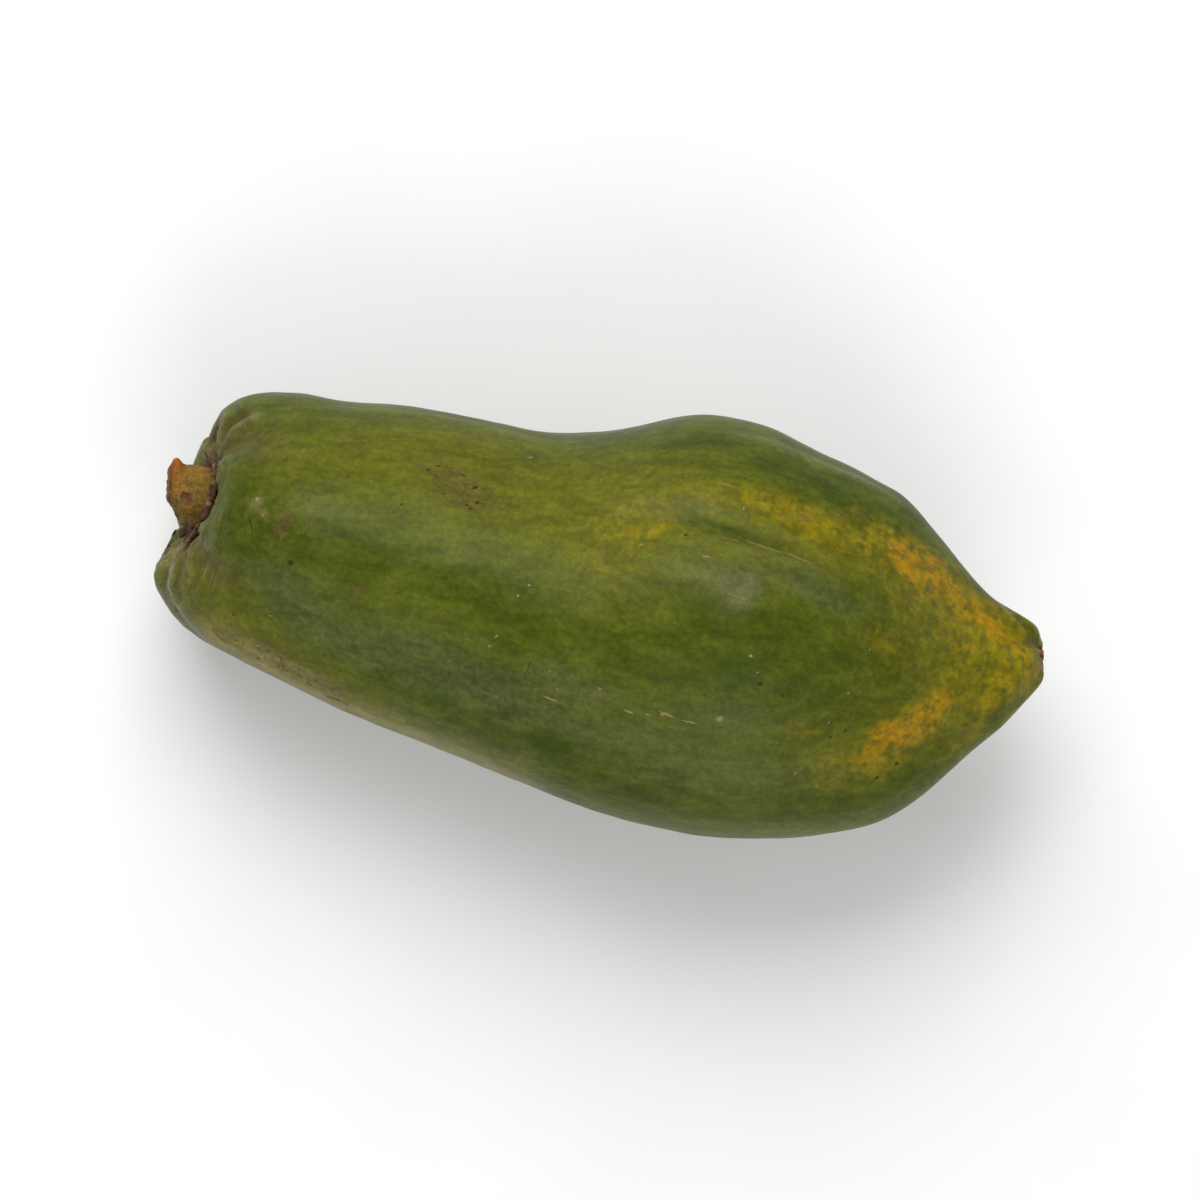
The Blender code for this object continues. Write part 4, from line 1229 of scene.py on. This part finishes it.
def smudged(finish, colour, mottle):
    """The colour with grey smudges where it ripens, rough areas with flecks, and painted shade in sunken
    folds.
    """
    cloudy = finish.noise(3.8, detail=3.0, rough=0.55, warp=0.6)
    smudges = finish.times(finish.step(cloudy, 0.50, 0.34), finish.step(mottle, 0.70, 0.40, bottom=0.4))
    in_ripe = finish.step("yellow", 0.2, 0.8, bottom=0.12, top=0.55)
    colour = finish.over(colour, smudges, in_ripe, MOTTLE_GREY)
    rough = finish.times("rough", finish.step(cloudy, 0.40, 0.62, bottom=0.15))
    flecks = finish.step(finish.noise(1.2, detail=3.0, rough=0.65), 0.48, 0.55)
    flecks = finish.times(flecks, rough)
    colour = finish.over(colour, rough, 0.18, STAIN_BROWN)
    colour = finish.over(colour, flecks, 0.80, FLECK_AND_FOLD_SHADE_BROWN)
    # painted shade in the sunken folds
    colour = finish.over(colour, "crease", 0.70, FLECK_AND_FOLD_SHADE_BROWN)
    colour = finish.over(colour, finish.dots(8.0, 0.42, 0.3), 0.6, SCAB_BROWN)
    return finish.over(colour, finish.dots(6.5, 0.36, 0.22), 0.45, SPECK_PALE), flecks


def rim_lined(finish, colour, soft):
    """The colour with pale and dark lines that sweep round the wrinkled rim, and how far they stand out."""
    sweep = finish.add("ShaderNodeAttribute", attribute_name="sweep").outputs["Vector"]
    lines = finish.noise(1.0 / MM, detail=2.0, rough=0.6, place=sweep)
    broken = finish.times("rim", finish.step(soft, 0.36, 0.60, bottom=0.15))
    pale = finish.times(finish.step(lines, 0.50, 0.66), broken)
    colour = finish.over(colour, pale, 0.36, PALE_LINE_AND_HIGHLIGHT)
    dark = finish.times(finish.step(lines, 0.42, 0.30), broken)
    return finish.over(colour, dark, 0.40, STAIN_BROWN), finish.math("SUBTRACT", pale, dark)


def marked(finish, colour, layers):
    """The colour with its small marks, and the marks that stand out or sink in."""
    ragged = finish.math("MULTIPLY_ADD", finish.noise(0.8, detail=2.0), 1.3, -0.65)
    found = {}
    for kind, (strength, new) in MARK_LOOKS.items():
        found[kind] = finish.marks(kind, layers[kind], 0.0 if kind == "thread" else ragged)
        colour = finish.over(colour, found[kind], strength, new)
    raised = finish.plus(found["cork"], found["speck"])
    return colour, found["cork"], finish.math("SUBTRACT", raised, finish.times(found["scab"], 0.6))


def dress_fruit(piece, layers):
    """Waxy skin: mottled green, ripening to yellow and orange, with bloom, stains, scabs and specks, and
    painted sheen, shade and highlights.
    """
    finish = Finish("papaya_skin", roughness=0.42, specular=0.09)
    finish.shader.inputs["Sheen Weight"].default_value = 0.02
    finish.shader.inputs["Sheen Roughness"].default_value = 0.35
    blotch = finish.noise(8.0, detail=3.0, rough=0.6, stretch=(0.6, 1.0, 1.0), warp=0.3)
    mottle = finish.noise(2.2, detail=2.0, rough=0.55)
    grain = finish.noise(0.6, detail=2.0, rough=0.6)
    soft = finish.noise(6.5, detail=1.6, rough=0.5, warp=0.8)

    colour = ripening_green(finish, blotch, mottle, soft)
    # bloom, partly painted sheen, thinned where the deep green and its painted shade lie
    bloom_and_sheen = finish.times("bloom_and_sheen", finish.step(mottle, 0.25, 0.7, bottom=0.45))
    bloom_and_sheen = finish.times(bloom_and_sheen, finish.step("deep_and_shade", 0.3, 0.9, bottom=1.0, top=0.1))
    colour = finish.over(colour, bloom_and_sheen, 0.75, BLOOM_AND_SHEEN_GREY)
    # pale lines and bands, with painted sheen and painted highlights on raised folds
    colour = finish.over(colour, "pale", 0.65, PALE_LINE_AND_HIGHLIGHT)
    colour = stained(finish, colour, blotch, mottle)
    colour = finish.shaded(colour, skin_shade(finish, mottle, grain))
    colour, flecks = smudged(finish, colour, mottle)
    colour, lines = rim_lined(finish, colour, soft)
    colour, corks, raised = marked(finish, colour, layers)

    uneven = finish.math("MULTIPLY_ADD", grain, 0.2, finish.times(mottle, 0.4))
    raised = finish.plus(finish.plus(raised, lines), finish.times(flecks, 0.7))
    normal = finish.bump(finish.plus(raised, uneven), 0.25)
    gloss = finish.step(blotch, 0.3, 0.7, bottom=0.36, top=0.46)
    worn = finish.plus(finish.times(bloom_and_sheen, 0.18), finish.times(corks, 0.3))
    finish.dress(piece, colour, normal, finish.plus(gloss, worn))


def dress_stalk(piece):
    """Orange-brown corky bark, with a purple-brown scar, a dark foot and a fibrous cut."""
    finish = Finish("papaya_stalk_bark", roughness=0.68, specular=0.15)
    patch = finish.noise(4.5, detail=3.0, rough=0.6)
    fibre = finish.noise(1.2, detail=4.0, rough=0.65, stretch=(0.35, 1.0, 1.0))
    grain = finish.noise(0.35, detail=2.0)
    colour = finish.mix(finish.step(patch, 0.3, 0.7), BARK_ORANGE, BARK_BROWN)
    colour = finish.over(colour, "knob", 0.85, KNOB_ORANGE)
    colour = finish.over(colour, "foot", 0.7, FOOT_BROWN)
    colour = finish.over(colour, "cut", 0.6, CUT_PINK)
    worn = finish.times("edge", finish.step(patch, 0.3, 0.6, bottom=0.3))
    colour = finish.over(colour, worn, 0.8, EDGE_BROWN)
    colour = finish.over(colour, "scar", 0.85, BRANCH_BROWN)
    colour = finish.over(colour, "ring", 0.50, BRANCH_RIM)
    colour = finish.mix(finish.step(fibre, 0.62, 0.8, top=0.5), colour, FIBRE_BROWN)
    colour = finish.over(colour, finish.dots(2.4, 0.4, 0.35), 0.8, PORE_BROWN)
    speckle = finish.noise(1.1, detail=3.0, rough=0.6)
    colour = finish.shaded(colour, finish.step(speckle, 0.3, 0.7, bottom=0.72, top=1.28))
    normal = finish.bump(grain, 0.08, finish.bump(fibre, 0.25))
    finish.dress(piece, colour, normal, finish.step(patch, 0.3, 0.7, bottom=0.6, top=0.78))


def dress_calyx(piece):
    """Dry, crumpled and nearly black, with reddish-brown and tan edges."""
    finish = Finish("papaya_calyx_brown", roughness=0.85, specular=0.2)
    crumple = finish.noise(1.3, detail=4.0, rough=0.65)
    patch = finish.noise(4.0, detail=2.0)
    colour = finish.mix(finish.step(crumple, 0.35, 0.7), CALYX_DARK, CALYX_RED)
    colour = finish.mix(finish.step(patch, 0.48, 0.68, top=0.75), colour, CALYX_TAN)
    colour = finish.mix(finish.step("crisp", 0.6, 0.9, top=0.4), colour, CALYX_EDGE)
    roughness = finish.step(crumple, 0.3, 0.7, bottom=0.75, top=0.92)
    finish.dress(piece, colour, finish.bump(crumple, 0.35), roughness)


def dress_scar(piece):
    """A red-orange ring round a dark middle."""
    finish = Finish("papaya_scar_red", roughness=0.55, specular=0.35)
    patch = finish.noise(0.9, detail=3.0, rough=0.6)
    colour = finish.mix(finish.step(patch, 0.3, 0.7), SCAR_RED, SCAR_ORANGE)
    colour = finish.over(colour, "middle", 0.92, SCAR_DARK)
    finish.dress(piece, colour, finish.bump(patch, 0.2), finish.step(patch, 0.3, 0.7, bottom=0.45, top=0.65))


def add_floor():
    bpy.ops.mesh.primitive_plane_add(size=6.0, location=(0.0, 0.0, 0.0))
    floor = bpy.context.object
    floor.name = "floor"
    finish = Finish("pale_floor", roughness=0.9, specular=0.1)
    finish.dress(floor, finish.mix(finish.noise(60.0), *FLOOR_GREYS))


def add_softbox(name, towards, elevation, distance, size, power):
    """A square soft light that looks at the fruit from an azimuth, in degrees from +X, and an elevation."""
    light = bpy.data.lights.new(name, "AREA")
    light.shape = "SQUARE"
    light.size = size
    light.energy = power
    lamp = bpy.data.objects.new(name, light)
    azimuth, elevation = np.radians(towards), np.radians(elevation)
    level = distance * np.cos(elevation)
    place = Vector((level * np.cos(azimuth), level * np.sin(azimuth), distance * np.sin(elevation)))
    lamp.location = place
    lamp.rotation_euler = (-place).to_track_quat("-Z", "Y").to_euler()
    bpy.context.scene.collection.objects.link(lamp)


def add_light():
    world = bpy.data.worlds.new("studio")
    world.use_nodes = True
    background = world.node_tree.nodes["Background"]
    background.inputs["Color"].default_value = (1.0, 1.0, 1.0, 1.0)
    background.inputs["Strength"].default_value = WORLD_STRENGTH
    bpy.context.scene.world = world
    add_softbox("key", towards=110.0, elevation=52.0, distance=1.6, size=1.2, power=22.0)
    add_softbox("fill", towards=-70.0, elevation=38.0, distance=1.6, size=1.2, power=11.0)
    bpy.context.scene.view_settings.view_transform = "Standard"


def add_camera(shift):
    camera = bpy.data.cameras.new("camera")
    camera.lens = LENS
    camera.sensor_width = SENSOR
    camera.clip_end = 20.0
    eye = bpy.data.objects.new("camera", camera)
    middle = frame_middle() + shift[:2]
    eye.location = Vector((*middle, OUTLINE_HEIGHT + CAMERA_DISTANCE)) * MM
    eye.rotation_euler = (0.0, 0.0, np.radians(SLOPE))
    bpy.context.scene.collection.objects.link(eye)
    bpy.context.scene.camera = eye


def part_shift():
    """How far the frame's origin lies from the stalk's foot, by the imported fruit's box and this one's."""
    step, angle = np.meshgrid(np.linspace(0.0, LAST_STEP, 8 * LAST_STEP + 1), np.arange(0.0, 360.0, 1.0))
    points = fruit_surface(step.ravel(), angle.ravel())
    low, high = (np.array(corner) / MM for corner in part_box("fruit"))
    shift = (low + high) / 2.0 - (points.min(axis=0) + points.max(axis=0)) / 2.0
    shift[2] = 0.0
    return shift


def stand_for(piece, node):
    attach(piece, "root")
    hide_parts(node)


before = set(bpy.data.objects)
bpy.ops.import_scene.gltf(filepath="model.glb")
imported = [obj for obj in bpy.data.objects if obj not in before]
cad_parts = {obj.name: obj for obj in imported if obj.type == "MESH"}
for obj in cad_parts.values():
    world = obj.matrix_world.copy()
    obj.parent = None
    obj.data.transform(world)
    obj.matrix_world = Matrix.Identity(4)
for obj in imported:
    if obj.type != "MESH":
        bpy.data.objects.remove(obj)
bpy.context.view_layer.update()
shift = part_shift()
add_camera(shift)
add_light()
add_floor()

fruit, layers, skin = fruit_piece(shift)
dress_fruit(fruit, layers)
stand_for(fruit, "fruit")

stalk = stalk_piece(shift)
dress_stalk(stalk)
stand_for(stalk, "stalk")

calyx = calyx_piece(shift)
dress_calyx(calyx)
stand_for(calyx, "calyx")

scraps = scraps_piece(shift, skin)
dress_calyx(scraps)
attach(scraps, "root")

scar = scar_piece(shift)
dress_scar(scar)
stand_for(scar, "flower_scar")
